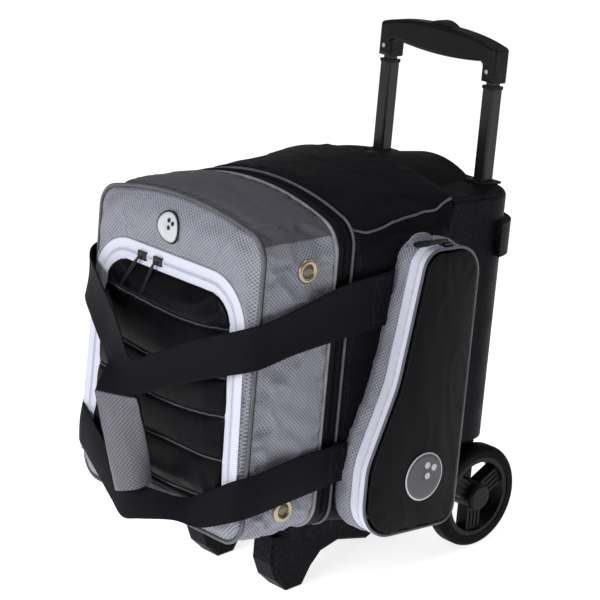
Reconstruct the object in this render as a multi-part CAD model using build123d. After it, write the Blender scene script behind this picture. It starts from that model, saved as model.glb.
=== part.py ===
from build123d import *
from collections import namedtuple
import math
import os

# Rolling bag for one bowling ball, with a fold-down shoe compartment, a side pocket and a pull handle.
# Millimetres. The bag frame has its origin on the wheel axle at the mid-plane, X to the bag's right,
# Y to the back and Z along the handle tubes. The standing bag leans back about the axle by LEAN degrees.

LEAN = 6.5
CLEAR = 0.3

# running gear
WHEEL_R = 63.5
WHEEL_IN = 112.0
WHEEL_OUT = 138.0
TYRE_SEAT_R = 50.0
RIM_INNER_R = 44.0
HUB_R = 17.0
AXLE_R = 4.0
AXLE_BORE_R = 4.05
SPOKE_ANGLES = (30, 150, 270)
SPOKE_WIDTH = 22.0
SKID_IN = 44.0
SKID_WIDTH = 36.0

# bag outline across its width, at four depths
Section = namedtuple("Section", "y half bottom shoulder crown radius")
FRONT = Section(-385, 142.0, 10, 357, 378, 28)
LID_REAR = Section(-278, 143.5, 9, 358, 387, 36)
BODY_FRONT = Section(-252, 141.0, 8, 360, 389, 30)
BODY_REAR = Section(-95, 139.0, -8, 379, 404, 16)
FABRIC = 3.0
TAPE = 2.0
PIPING = 2.5
ZIP_GAP_Y = -265.0

# moulded back
SHELL_HALF = 139.0
SHELL_FRONT = -95.0
SHELL_BACK = 20.0
SHELL_CORNER = 50.0
SHELL_TOP = 380.0
SHELL_WALL = 3.0
KEEL_HALF = 102.0
KEEL_BOTTOM = -14.0
WELL_TOP = 77.0
LINER_Y = -18.0
BOARD_TOP = 16.5
CUP_Y = -147.0

# telescopic handle
TUBE_X = 87.0
TUBE_Y = 3.0
OUTER_TUBE = (20.6, 18.2)
MID_TUBE = (17.6, 15.2)
INNER_TUBE = (12.6, 10.2)
MID_TOP = 492.0
MID_LENGTH = 346.0
GRIP_BASE = 500.0
GRIP_HALF = 97.5
GRIP_DEPTH = 26.0
BUTTON_LENGTH = 42.0
BUTTON_WIDTH = 14.0

# shoe flap and its zipper on the front face
FLAP_BOTTOM = 42.0
FLAP_TOP = 300.0
FLAP_HALF_TOP = 119.0
FLAP_HALF_BOTTOM = 128.0
FLAP_CORNER = 48.0
FLAP_BACK = -392.0
FLAP_FRONT = -400.0
ZIP_HALF = 9.0

# side pocket, on the right
POCKET_WALL = 141.0
POCKET_SPLIT = 171.0
POCKET_SKIRT = 186.0
POCKET_FACE = 190.0
POCKET_REAR = -98.0

# webbing handles
WEBBING = 50.0
WEBBING_THICK = 2.0
STRAP_HALF = 151.0
UPPER_ANCHOR = (-205.0, 278.0)
UPPER_DROOP = 19.9
UPPER_REACH = (12.0, 213.0, 262.0)
LOWER_ANCHOR = (-240.0, 92.0)
LOWER_DROOP = 13.9
LOWER_REACH = (13.0, 168.0, 196.0)
WRAP_X = (-44.0, 12.0)
WRAP_Z = (52.0, 163.0)
WRAP_Y = (-446.5, -442.5)


def block(x, y, z):
    """A box from three (low, high) pairs."""
    size = [high - low for low, high in (x, y, z)]
    middle = [(low + high) / 2 for low, high in (x, y, z)]
    return Pos(*middle) * Box(*size)


def both_sides(name, solid):
    """A right-hand piece and its mirror image on the left."""
    return {name + "_right": solid, name + "_left": mirror(solid, about=Plane.YZ)}


def pair(solid):
    """A right-hand piece and its mirror image as one node of two solids."""
    return Compound([*solid.solids(), *mirror(solid, about=Plane.YZ).solids()])


def across(y):
    """The plane across the bag at depth y, drawn in X and Z."""
    return Plane((0, y, 0), x_dir=(1, 0, 0), z_dir=(0, -1, 0))


def side_plane(x):
    """The plane along the bag at width x, drawn in Y and Z."""
    return Plane((x, 0, 0), x_dir=(0, 1, 0), z_dir=(1, 0, 0))


def floor_z(y):
    """Height of the floor in the bag frame at depth y."""
    lean = math.radians(LEAN)
    return (y * math.sin(lean) - WHEEL_R) / math.cos(lean)


def outline(s):
    """The bag's rounded, crowned outline at one section."""
    right = (s.half, s.shoulder)
    left = (-s.half, s.shoulder)
    floor_left = (-s.half, s.bottom)
    floor_right = (s.half, s.bottom)
    edges = Line(floor_left, floor_right) + Line(floor_right, right)
    edges += ThreePointArc(right, (0, s.crown), left) + Line(left, floor_left)
    face = make_face(edges)
    return across(s.y) * fillet(face.vertices(), s.radius)


def grown(s, by, y=None):
    """A section moved outward by a distance, and to another depth."""
    depth = s.y if y is None else y
    return Section(depth, s.half + by, s.bottom - by, s.shoulder + by, s.crown + by, s.radius + by)


def between(a, b, y):
    """The section at depth y on the straight line from section a to section b."""
    f = (y - a.y) / (b.y - a.y)
    return Section(*[p + (q - p) * f for p, q in zip(a, b)])


def sleeve(a, b, wall):
    """A tube of fabric from one section to another, its wall inside the outline."""
    outer = loft([outline(a), outline(b)])
    inner = loft([outline(grown(a, -wall)), outline(grown(b, -wall))])
    return outer - inner


def hoop(s, inside, outside, depth):
    """A band round one section, from one offset to another, running forward by depth."""
    outer = extrude(outline(grown(s, outside)), amount=depth)
    inner = extrude(outline(grown(s, inside)), amount=depth)
    return outer - inner


# ---------------------------------------------------------------- main body

def main_panels():
    """Top, side and floor panels of the ball compartment."""
    body = sleeve(BODY_FRONT, BODY_REAR, FABRIC)
    deep = (BODY_FRONT.y - 1, BODY_REAR.y + 1)
    wide = SHELL_HALF + 20
    top, low = 322.0, 42.0
    side = body & block((0, wide), deep, (low, top))
    return {
        "body_top_panel": body & block((-wide, wide), deep, (top, 450)),
        "body_floor_panel": body & block((-wide, wide), deep, (-60, low)),
        **both_sides("body_side_panel", side),
    }


def shell_plan(inset, front):
    """Plan outline of the moulded back, with its rounded rear corners."""
    half = SHELL_HALF - inset
    back = SHELL_BACK - inset
    face = make_face(Polyline((-half, front), (half, front), (half, back), (-half, back), close=True))
    rear = face.vertices().group_by(Axis.Y)[-1]
    return fillet(rear, SHELL_CORNER - inset)


def shell_hump(inset):
    """The crowned top between the two handle sockets."""
    faces = []
    for y, half, ridge in ((SHELL_FRONT - 1, 96, 402), (SHELL_BACK - 14, 62, 396)):
        base = SHELL_TOP - 30
        left, right = (-half + inset, base), (half - inset, base)
        up_left, up_right = (-half + inset, SHELL_TOP - 1 - inset), (half - inset, SHELL_TOP - 1 - inset)
        edges = Line(left, right) + Line(right, up_right)
        edges += ThreePointArc(up_right, (0, ridge - inset), up_left) + Line(up_left, left)
        faces.append(across(y + (-2 if inset and y < -50 else 0)) * make_face(edges))
    return loft(faces)


def back_shell():
    """Moulded back: housing above the wheels, keel between them, open to the front."""
    upper = Pos(0, 0, WELL_TOP) * extrude(shell_plan(0, SHELL_FRONT), amount=SHELL_TOP - WELL_TOP)
    upper = fillet(upper.edges().group_by(Axis.Z)[-1].filter_by(lambda e: e.center().Y > SHELL_FRONT + 1), 8)
    keel = block((-KEEL_HALF, KEEL_HALF), (SHELL_FRONT, SHELL_BACK), (KEEL_BOTTOM, WELL_TOP))
    shell = upper + keel + (shell_hump(0) & block((-120, 120), (SHELL_FRONT, 60), (300, 450)))
    w = SHELL_WALL
    room = Pos(0, 0, WELL_TOP + w) * extrude(shell_plan(w, SHELL_FRONT - 9),
                                             amount=SHELL_TOP - WELL_TOP - 2 * w)
    deep = (SHELL_FRONT - 9, SHELL_BACK - w)
    room += block((-KEEL_HALF + w, KEEL_HALF - w), deep, (KEEL_BOTTOM + w, WELL_TOP + 20))
    room += shell_hump(w)
    shell -= room
    for sign in (-1, 1):
        x = tuple(sorted((sign * (KEEL_HALF - w), sign * (SHELL_HALF - 1))))
        shell += block(x, (SHELL_FRONT, SHELL_FRONT + w), (KEEL_BOTTOM + 6, WELL_TOP + w))
        shell -= Pos(sign * TUBE_X, TUBE_Y, SHELL_TOP) * Box(26, 26, 40)
    return shell - Rot(0, 90, 0) * Cylinder(AXLE_BORE_R, 400)


def bumper():
    """Rubbing block that wraps the back of the housing."""
    ring = extrude(shell_plan(-9, -45), amount=40) - extrude(shell_plan(0, -50), amount=40)
    return Pos(0, 0, 305) * ring & block((-160, 160), (-20, 60), (300, 350))


def handle_socket():
    """Square bush that guides the handle tube out of the housing."""
    body = Pos(0, 0, SHELL_TOP - 5) * Box(25.9, 25.9, 10)
    flange = Pos(0, 0, SHELL_TOP + 1.5) * Box(31, 31, 3)
    bush = fillet((body + flange).edges().group_by(Axis.Z)[-1], 1.2)
    bush -= Pos(0, 0, SHELL_TOP) * Box(18.2, 18.2, 60)
    return Pos(TUBE_X, TUBE_Y, 0) * bush


def square_tube(size, low, high, corner):
    """Square tube on the right-hand handle centre line."""
    outer, inner = size
    length = high - low
    tube = extrude(RectangleRounded(outer, outer, corner), amount=length)
    tube -= extrude(RectangleRounded(inner, inner, corner - 1), amount=length)
    return Pos(TUBE_X, TUBE_Y, low) * tube


def base_tray():
    """Plastic tray under the floor panel that carries the two skids."""
    points = [(-268, -20), (-268, 0), (-262, 5.0), (-97, -8.6), (-97, -20)]
    face = make_face(Polyline(*points, close=True))
    return extrude(side_plane(-100) * face, amount=200) - block((-96, 96), (-260, -101), (-17, 10))


def skid():
    """Moulded front foot that sweeps back into a short runner."""
    front, rear = -248.0, -224.0
    points = [(-277, -20.3), (-277, -54), (-267, -76), (front, floor_z(front)), (rear, floor_z(rear))]
    points += [(-212, -68), (-198, -52), (-171, -43), (-124, -50), (-115, -45), (-115, -38), (-150, -20.3)]
    face = make_face(Polyline(*points, close=True))
    solid = extrude(side_plane(SKID_IN) * face, amount=SKID_WIDTH)
    sharp = solid.faces().group_by(Axis.X)
    rims = (sharp[0].edges() + sharp[-1].edges()).filter_by(lambda e: e.center().Z < -21)
    hollow = extrude(side_plane(SKID_IN + 4) * offset(face, amount=-4), amount=SKID_WIDTH - 8)
    hollow += Pos(0, 0, 5) * hollow
    return chamfer(rims, 3) - (hollow & block((0, 100), (-300, -154), (-100, 0)))


def base_board():
    """Stiff board over the floor panel and into the keel."""
    level = (BOARD_TOP - 4, BOARD_TOP)
    return block((-108, 108), (-248, -97), level) + block((-92, 92), (-97, -24), level)


def ball_cup():
    """Foam ring that cradles the ball."""
    ring = Cylinder(78, 26) - Cylinder(54, 26)
    return Pos(0, CUP_Y, BOARD_TOP + 13) * ring


def back_liner():
    """Lining board between the ball compartment and the handle tubes."""
    wide = SHELL_HALF - SHELL_WALL - 2
    narrow = KEEL_HALF - SHELL_WALL
    sill = WELL_TOP + SHELL_WALL
    board = block((-wide, wide), (LINER_Y - 2, LINER_Y), (sill, SHELL_TOP - SHELL_WALL))
    return board + block((-narrow, narrow), (LINER_Y - 2, LINER_Y), (KEEL_BOTTOM + SHELL_WALL, sill))


def body_parts():
    """Everything fixed to the bag's main compartment."""
    parts = main_panels()
    parts["back_shell"] = back_shell()
    parts["back_bumper"] = bumper()
    parts["back_liner"] = back_liner()
    parts["base_tray"] = base_tray()
    parts["base_board"] = base_board()
    parts["ball_cup"] = ball_cup()
    parts["body_zip_tape"] = hoop(grown(BODY_FRONT, 0.5, ZIP_GAP_Y + CLEAR), -TAPE, 0, -12.5)
    parts["body_piping"] = hoop(grown(BODY_FRONT, 0, -252), 0.5, 0.5 + PIPING, 3)
    parts["axle"] = Rot(0, 90, 0) * Cylinder(AXLE_R, 2 * (WHEEL_OUT - 1.5))
    bracket = block((KEEL_HALF, KEEL_HALF + 4), (-22, 18), (-13, 28)) - Rot(0, 90, 0) * Cylinder(AXLE_BORE_R,
                                                                                                 400)
    parts["axle_brackets"] = pair(bracket)
    parts["handle_sockets"] = pair(handle_socket())
    parts["outer_tubes"] = pair(square_tube(OUTER_TUBE, 24, SHELL_TOP - 10, 3))
    clamp_y = (TUBE_Y + OUTER_TUBE[0] / 2, SHELL_BACK - SHELL_WALL)
    parts["tube_clamps"] = pair(block((TUBE_X - 9, TUBE_X + 6), clamp_y, (40, 68)))
    parts.update(both_sides("skid_foot", skid()))
    return parts


# ---------------------------------------------------------------- side pocket

def pocket_outline(inset):
    """Pocket outline in Y and Z, straight at the back and raked at the front."""
    corners = [
        (POCKET_REAR, 339, 35),
        (-181, 339, 24),
        (-207, 185, 150),
        (-243, 92, 70),
        (-243, 6, 45),
        (POCKET_REAR, 6, 20),
    ]
    face = make_face(Polyline(*[(y, z) for y, z, _ in corners], close=True))
    for y, z, radius in corners:
        corner = face.vertices().sort_by_distance((y, z, 0))[0]
        face = fillet([corner], radius)
    return offset(face, amount=-inset) if inset else face


def pocket_band(low, high, wall):
    """The pocket's wall between two widths, all the way round."""
    ring = extrude(side_plane(low) * pocket_outline(0), amount=high - low)
    return ring - extrude(side_plane(low) * pocket_outline(wall), amount=high - low)


def pocket_parts():
    """The pocket wall on the bag, and the cover that opens at its front edge."""
    zipped = block((0, 300), (-400, -134), (-40, 400))
    zipped += block((0, 300), (-400, -150), (-40, 100))
    low, mid, high = POCKET_SPLIT, POCKET_SPLIT + 7.3, POCKET_SKIRT
    rear = pocket_band(low, high - CLEAR, 2.5) - zipped
    fixed = {
        "pocket_gusset": pocket_band(POCKET_WALL, low, 2.5) + rear,
        "pocket_zip_tape_wall": pocket_band(low, mid, 2.0) & zipped,
    }
    face = extrude(side_plane(POCKET_SKIRT) * pocket_outline(1.5), amount=POCKET_FACE - POCKET_SKIRT)
    rim = extrude(side_plane(POCKET_SKIRT) * pocket_outline(0), amount=3)
    cover = {
        "pocket_cover": fillet(face.faces().sort_by(Axis.X)[-1].edges(), 1.5),
        "pocket_piping": rim - extrude(side_plane(POCKET_SKIRT) * pocket_outline(1.5), amount=3),
        "pocket_zip_tape_cover": pocket_band(mid + CLEAR, high, 2.0) & zipped,
    }
    return fixed, cover


# ---------------------------------------------------------------- shoe compartment

def flap_outline(grow):
    """The inverted U of the shoe flap, moved outward from the zipper's centre line."""
    slope = (FLAP_HALF_BOTTOM - FLAP_HALF_TOP) / (FLAP_TOP - FLAP_BOTTOM)
    top = FLAP_TOP + grow
    half_top = FLAP_HALF_TOP + grow - slope * grow
    half_bottom = FLAP_HALF_BOTTOM + grow
    points = [(-half_bottom, FLAP_BOTTOM), (half_bottom, FLAP_BOTTOM), (half_top, top), (-half_top, top)]
    face = make_face(Polyline(*points, close=True))
    return fillet(face.vertices().group_by(Axis.Y)[-1], FLAP_CORNER + grow)


def flap_slab(grow, front, back):
    """A slab of the flap's outline between two depths."""
    return extrude(across(back) * flap_outline(grow), amount=back - front)


def eyelet(y, z):
    """Mesh vent in the right side of the shoe compartment."""
    half = between(FRONT, LID_REAR, y).half
    ring = Cylinder(13.5, 2.4) - Cylinder(8.5, 2.4)
    mesh = Pos(0, 0, -0.6) * Cylinder(8.5, 0.8)
    return Pos(half + 1.8, y, z) * Rot(0, 90, 0) * (ring + mesh)


def lid_parts():
    """The shoe compartment: a shallow box that folds down in front of the ball compartment."""
    front_frame = extrude(outline(grown(FRONT, 0, -381)), amount=7) - flap_slab(CLEAR, -395, -375)
    front_frame += flap_slab(ZIP_HALF + 3, -393.6, -387.5) - flap_slab(CLEAR, -396, -386)
    rear = grown(LID_REAR, -FABRIC - 0.6, -278.0)
    hinge_half = hoop(grown(BODY_FRONT, 0.5, -278 + 12.7), -TAPE, 0, 12.7)
    parts = {
        "lid_shell": sleeve(grown(FRONT, 0, -381), LID_REAR, FABRIC),
        "lid_front_frame": front_frame,
        "lid_back_panel": extrude(outline(rear), amount=2.5),
        "lid_zip_tape": hinge_half,
        "lid_front_piping": hoop(grown(FRONT, 0, -382), 0, PIPING, 4),
        "lid_rear_piping": hoop(grown(LID_REAR, 0, -279), 0, PIPING, 4),
        "flap_zip_tape_lid": flap_slab(ZIP_HALF, -395.6, -393.6) - flap_slab(CLEAR, -396, -393),
    }
    cut = block((-200, 200), (-450, -300), (-50, FLAP_BOTTOM + 2))
    parts["flap_zip_tape_lid"] -= cut
    parts["vent_eyelets"] = pair(Compound([eyelet(-321, 321), eyelet(-327, 48)]))
    return parts


def flap_parts():
    """The quilted flap and its half of the zipper."""
    tape = flap_slab(-CLEAR, -395.6, -393.6) - flap_slab(-ZIP_HALF, -396, -393)
    tape -= block((-200, 200), (-450, -300), (-50, FLAP_BOTTOM + 2))
    panel = flap_slab(-ZIP_HALF, FLAP_FRONT, FLAP_BACK)
    panel = panel - block((-200, 200), (-450, -300), (-50, FLAP_BOTTOM + 0.5))
    return {
        "shoe_flap": fillet(panel.faces().sort_by(Axis.Y)[0].edges(), 3),
        "flap_zip_tape_flap": tape,
    }


# ---------------------------------------------------------------- handle

def mid_collar():
    """Plastic bush in the top of the sliding tube."""
    bush = Box(17.6, 17.6, 4) - Box(12.9, 12.9, 4)
    return Pos(TUBE_X, TUBE_Y, MID_TOP + 2) * bush


def grip_body():
    """Hand grip: a spindle-shaped bar between two square end blocks."""
    half = GRIP_HALF
    upper = [(-half, 541), (-70, 547.5), (0, 552.5), (70, 547.5), (half, 541)]
    lower = [(76.5, 523), (40, 519), (0, 517.5), (-40, 519), (-76.5, 523)]
    top = Spline(*upper)
    bottom = Spline(*lower)
    right = Polyline((half, 541), (half, GRIP_BASE), (76.5, GRIP_BASE), (76.5, 523))
    left = Polyline((-76.5, 523), (-76.5, GRIP_BASE), (-half, GRIP_BASE), (-half, 541))
    face = make_face(top + right + bottom + left)
    bends = face.vertices().filter_by(lambda v: v.Y > 520)
    face = fillet(bends, 5)
    solid = extrude(across(TUBE_Y + GRIP_DEPTH / 2) * face, amount=GRIP_DEPTH)
    sides = solid.faces().sort_by(Axis.Y)
    solid = fillet(sides[0].edges() + sides[-1].edges(), 5)
    slot = Pos(0, TUBE_Y, 552) * Box(BUTTON_LENGTH + 0.8, BUTTON_WIDTH + 0.8, 24)
    for sign in (-1, 1):
        solid -= Pos(sign * TUBE_X, TUBE_Y, GRIP_BASE) * Box(12.6, 12.6, 40)
    return solid - slot


def release_button():
    """Domed push button in the top of the grip."""
    arc = ThreePointArc((-BUTTON_LENGTH / 2, 550), (0, 558), (BUTTON_LENGTH / 2, 550))
    low = Polyline((BUTTON_LENGTH / 2, 550), (BUTTON_LENGTH / 2, 545), (-BUTTON_LENGTH / 2, 545),
                   (-BUTTON_LENGTH / 2, 550))
    solid = extrude(across(TUBE_Y + BUTTON_WIDTH / 2) * make_face(arc + low), amount=BUTTON_WIDTH)
    return solid


def handle_parts():
    """The sliding tubes, the grip and its button, as three bodies."""
    low = MID_TOP - MID_LENGTH
    mid = {
        "mid_tubes": pair(square_tube(MID_TUBE, low, MID_TOP, 3)),
        "mid_collars": pair(mid_collar()),
    }
    screw = Pos(TUBE_X, TUBE_Y - GRIP_DEPTH / 2 - 0.5, 513) * Rot(90, 0, 0) * Cylinder(2.6, 1)
    inner = {
        "inner_tubes": pair(square_tube(INNER_TUBE, low + 18, GRIP_BASE + 20, 2)),
        "grip": grip_body(),
        "grip_screws": pair(screw),
    }
    return mid, inner, {"release_button": release_button()}


# ---------------------------------------------------------------- wheels

def turned(points):
    """A solid of revolution about the axle from points of width and radius."""
    profile = Plane.XY * make_face(Polyline(*points, close=True))
    return revolve(profile, axis=Axis.X)


def tyre():
    """Moulded tread with round shoulders."""
    ring = turned([(WHEEL_IN, TYRE_SEAT_R), (WHEEL_OUT, TYRE_SEAT_R), (WHEEL_OUT, WHEEL_R),
                   (WHEEL_IN, WHEEL_R)])
    outer = ring.edges().filter_by(GeomType.CIRCLE).filter_by(lambda e: abs(e.radius - WHEEL_R) < 0.1)
    return fillet(outer, 7)


def wheel_hub():
    """Rim, three ribbed spokes and barrel in one moulding."""
    rim = turned([(WHEEL_IN + 1, RIM_INNER_R), (WHEEL_OUT - 1, RIM_INNER_R), (WHEEL_OUT - 1, TYRE_SEAT_R),
                  (WHEEL_IN + 1, TYRE_SEAT_R)])
    barrel = Pos(122, 0, 0) * Rot(0, 90, 0) * Cylinder(HUB_R, 30)
    hub = rim + barrel
    for angle in SPOKE_ANGLES:
        spoke = block((116, 133), (HUB_R - 4, RIM_INNER_R + 1), (-SPOKE_WIDTH / 2, SPOKE_WIDTH / 2))
        for rib in (-6, 0, 6):
            spoke -= block((131.4, 134), (HUB_R + 2, RIM_INNER_R - 4), (rib - 1.2, rib + 1.2))
        hub += Rot(angle, 0, 0) * spoke
    return hub - Rot(0, 90, 0) * Cylinder(AXLE_BORE_R, 400)


def hub_cap():
    """Domed cap over the axle end."""
    cap = Pos(139.5, 0, 0) * Rot(0, 90, 0) * Cylinder(HUB_R - 0.5, 5)
    outer = cap.edges().filter_by(GeomType.CIRCLE).sort_by(Axis.X)[-1]
    return fillet(outer, 4.5)


def wheel_parts(side):
    """Rim, tyre and cap of one wheel."""
    parts = {}
    for name, solid in (("wheel_hub", wheel_hub()), ("tyre", tyre()), ("hub_cap", hub_cap())):
        parts[name + "_" + side] = both_sides(name, solid)[name + "_" + side]
    return parts


# ---------------------------------------------------------------- webbing and zipper pulls

def strap_plane(anchor, droop):
    """The plane of a webbing loop that points forward and droops."""
    angle = math.radians(droop)
    return Plane((0, *anchor), x_dir=(1, 0, 0), z_dir=(0, -math.sin(angle), math.cos(angle)))


def webbing_loop(anchor, droop, reach):
    """A flat webbing loop from one side of the bag round its front to the other."""
    start, corner, apex = reach
    faces = []
    for inset in (0, WEBBING_THICK):
        half = STRAP_HALF - inset
        turn, tip = corner - inset, apex - inset
        points = [(-half, -start), (-half, -turn), (0, -tip), (half, -turn), (half, -start)]
        face = make_face(Polyline(*points, close=True))
        bends = face.vertices().filter_by(lambda v, t=turn: v.Y < -t + 1 and abs(v.X) > 1)
        face = fillet(bends, 26 - inset)
        tips = face.vertices().sort_by(Axis.Y)[0]
        faces.append(fillet([tips], 120 - inset))
    plane = strap_plane(anchor, droop)
    ring = extrude(plane * faces[0], amount=WEBBING / 2, both=True)
    return ring - extrude(plane * faces[1], amount=WEBBING / 2 + 1, both=True)


def strap_tab(anchor, droop, start, inner):
    """Stitched end of a webbing handle on the right side of the main compartment."""
    plane = strap_plane(anchor, droop)
    x = (inner + STRAP_HALF - WEBBING_THICK - CLEAR) / 2
    tab = Box(STRAP_HALF - WEBBING_THICK - CLEAR - inner, 12, WEBBING - 4)
    return plane.location * Pos(x, -start - 8, 0) * tab


def shoe_slider(x):
    """Zipper slider on the top run of the shoe flap's zipper."""
    body = block((x - 7, x + 7), (-400.2, -395.9), (FLAP_TOP - 5, FLAP_TOP + 5))
    return chamfer(body.faces().sort_by(Axis.Y)[0].edges(), 1)


def shoe_pull(x, slant):
    """Cord pull that hangs from a shoe slider, swung sideways by an angle in degrees."""
    cord = block((x - 2.2, x + 2.2), (-403.3, -400.5), (FLAP_TOP - 42, FLAP_TOP - 0.9))
    return cord.rotate(Axis((x, -401.9, FLAP_TOP), (0, 1, 0)), slant)


def pocket_slider():
    """Slider at the top end of the pocket's zipper."""
    body = block((POCKET_SPLIT + 2.5, POCKET_SPLIT + 12.5), (-151, -137), (339.3, 343.5))
    return chamfer(body.faces().sort_by(Axis.Z)[-1].edges(), 1)


def pocket_pull():
    """Cord pull that lies forward along the pocket's top."""
    return block((POCKET_SPLIT + 5.2, POCKET_SPLIT + 9.8), (-197, -142.6), (343.8, 347))


def main_slider():
    """Slider of the long zipper, on the left side."""
    x = -BODY_FRONT.half - 0.5
    body = block((x - 4.2, x - CLEAR), (ZIP_GAP_Y - 5, ZIP_GAP_Y + 5), (168, 182))
    return chamfer(body.faces().sort_by(Axis.X)[0].edges(), 1)


def main_pull():
    """Cord pull that hangs from the long zipper's slider."""
    x = -BODY_FRONT.half - 0.5
    return block((x - 7.0, x - 4.4), (ZIP_GAP_Y - 2.2, ZIP_GAP_Y + 2.2), (138, 176.4))


# ---------------------------------------------------------------- assembly

SHOE_SLIDER_X = (-47.0, -19.0)
SHOE_PULL_SLANT = (34.0, 24.0)


def bodies():
    """Every moving body of the bag and its nodes, in the bag frame."""
    pocket_fixed, pocket_moving = pocket_parts()
    mid, inner, button = handle_parts()
    root = body_parts()
    root.update(pocket_fixed)
    upper_tab = strap_tab(UPPER_ANCHOR, UPPER_DROOP, UPPER_REACH[0], BODY_FRONT.half + 0.4)
    lower_tab = strap_tab(LOWER_ANCHOR, LOWER_DROOP, LOWER_REACH[0], BODY_FRONT.half + 3.2)
    root["upper_strap_tabs"] = pair(upper_tab)
    root["lower_strap_tabs"] = pair(lower_tab)
    wrap = block(WRAP_X, WRAP_Y, WRAP_Z)
    return {
        "bag_body": root,
        "lid": lid_parts(),
        "shoe_flap_panel": flap_parts(),
        "pocket_door": pocket_moving,
        "mid_stage": mid,
        "grip_stage": inner,
        "button": button,
        "wheel_right": wheel_parts("right"),
        "wheel_left": wheel_parts("left"),
        "upper_handle": {"upper_strap": webbing_loop(UPPER_ANCHOR, UPPER_DROOP, UPPER_REACH)},
        "lower_handle": {"lower_strap": webbing_loop(LOWER_ANCHOR, LOWER_DROOP, LOWER_REACH)},
        "handle_cuff": {"handle_wrap": wrap},
        "slider_left": {"shoe_slider_left": shoe_slider(SHOE_SLIDER_X[0])},
        "slider_right": {"shoe_slider_right": shoe_slider(SHOE_SLIDER_X[1])},
        "pull_left": {"shoe_pull_left": shoe_pull(SHOE_SLIDER_X[0], SHOE_PULL_SLANT[0])},
        "pull_right": {"shoe_pull_right": shoe_pull(SHOE_SLIDER_X[1], SHOE_PULL_SLANT[1])},
        "slider_pocket": {"pocket_slider": pocket_slider()},
        "pull_pocket": {"pocket_pull": pocket_pull()},
        "slider_main": {"main_slider": main_slider()},
        "pull_main": {"main_pull": main_pull()},
    }


def standing(parts_by_body):
    """All nodes with the bag leaned back on the floor, and the shift that centres them."""
    leaned = {}
    for nodes in parts_by_body.values():
        for name, solid in nodes.items():
            leaned[name] = Pos(0, 0, WHEEL_R) * Rot(-LEAN, 0, 0) * solid
    boxes = [solid.bounding_box() for solid in leaned.values()]
    x = min(b.min.X for b in boxes) + max(b.max.X for b in boxes)
    y = min(b.min.Y for b in boxes) + max(b.max.Y for b in boxes)
    shift = (-x / 2, -y / 2, 0.0)
    return {name: Pos(*shift) * solid for name, solid in leaned.items()}, shift


BODIES = bodies()
NODES, SHIFT = standing(BODIES)

os.makedirs("parts", exist_ok=True)
for node, solid in NODES.items():
    export_step(solid, f"parts/{node}.step")
print(len(NODES), "nodes, shift", [round(v, 3) for v in SHIFT])
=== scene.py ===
import math

import bmesh
import bpy
import numpy as np
from mathutils import Matrix, Vector, noise
from mathutils.bvhtree import BVHTree


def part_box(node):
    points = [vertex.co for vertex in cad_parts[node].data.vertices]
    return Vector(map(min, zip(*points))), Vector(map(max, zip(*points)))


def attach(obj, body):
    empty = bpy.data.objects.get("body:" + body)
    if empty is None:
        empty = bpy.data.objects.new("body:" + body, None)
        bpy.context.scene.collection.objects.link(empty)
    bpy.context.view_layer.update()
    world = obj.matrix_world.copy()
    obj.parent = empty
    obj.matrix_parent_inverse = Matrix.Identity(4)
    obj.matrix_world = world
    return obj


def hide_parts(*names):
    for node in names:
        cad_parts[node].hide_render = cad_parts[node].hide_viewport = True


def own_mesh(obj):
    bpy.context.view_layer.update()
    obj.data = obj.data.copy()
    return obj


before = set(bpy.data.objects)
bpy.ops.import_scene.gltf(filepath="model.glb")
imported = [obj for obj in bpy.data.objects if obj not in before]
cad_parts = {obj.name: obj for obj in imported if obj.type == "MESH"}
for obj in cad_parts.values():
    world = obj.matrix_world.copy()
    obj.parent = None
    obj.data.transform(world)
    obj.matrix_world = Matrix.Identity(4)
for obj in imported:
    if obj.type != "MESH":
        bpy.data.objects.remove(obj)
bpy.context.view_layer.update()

SCENE = bpy.context.scene

# The bag frame has its origin on the wheel axle at the mid-plane, X to the bag's right, Y to the back and
# Z along the handle tubes, in millimetres. The row frame is the same thing leaned back by LEAN, in metres.
LEAN = math.radians(6.5)
AXLE = sum(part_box("axle"), Vector()) / 2
TILT = Matrix.Rotation(-LEAN, 4, "X")
TO_ROW = Matrix.Translation(AXLE) @ TILT @ Matrix.Scale(0.001, 4)
TO_BAG = TO_ROW.inverted()


def row(point):
    """A point of the bag frame in the row frame."""
    return TO_ROW @ Vector(point)


# ---------------------------------------------------------------- camera

def look():
    """The camera, which looks down at the bag from its front right."""
    right, up, back = (0.6639, 0.7478, 0.0), (-0.2533, 0.2249, 0.9409), (0.7036, -0.6247, 0.3387)
    data = bpy.data.cameras.new("camera")
    data.sensor_width = 36
    data.lens = 148.58
    data.clip_end = 100
    camera = bpy.data.objects.new("camera", data)
    turn = Matrix((right, up, back)).transposed().to_4x4()
    camera.matrix_world = Matrix.Translation(AXLE + Vector((2.0428, -1.9796, 1.2391))) @ turn
    SCENE.collection.objects.link(camera)
    SCENE.camera = camera


look()

# ---------------------------------------------------------------- materials

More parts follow.
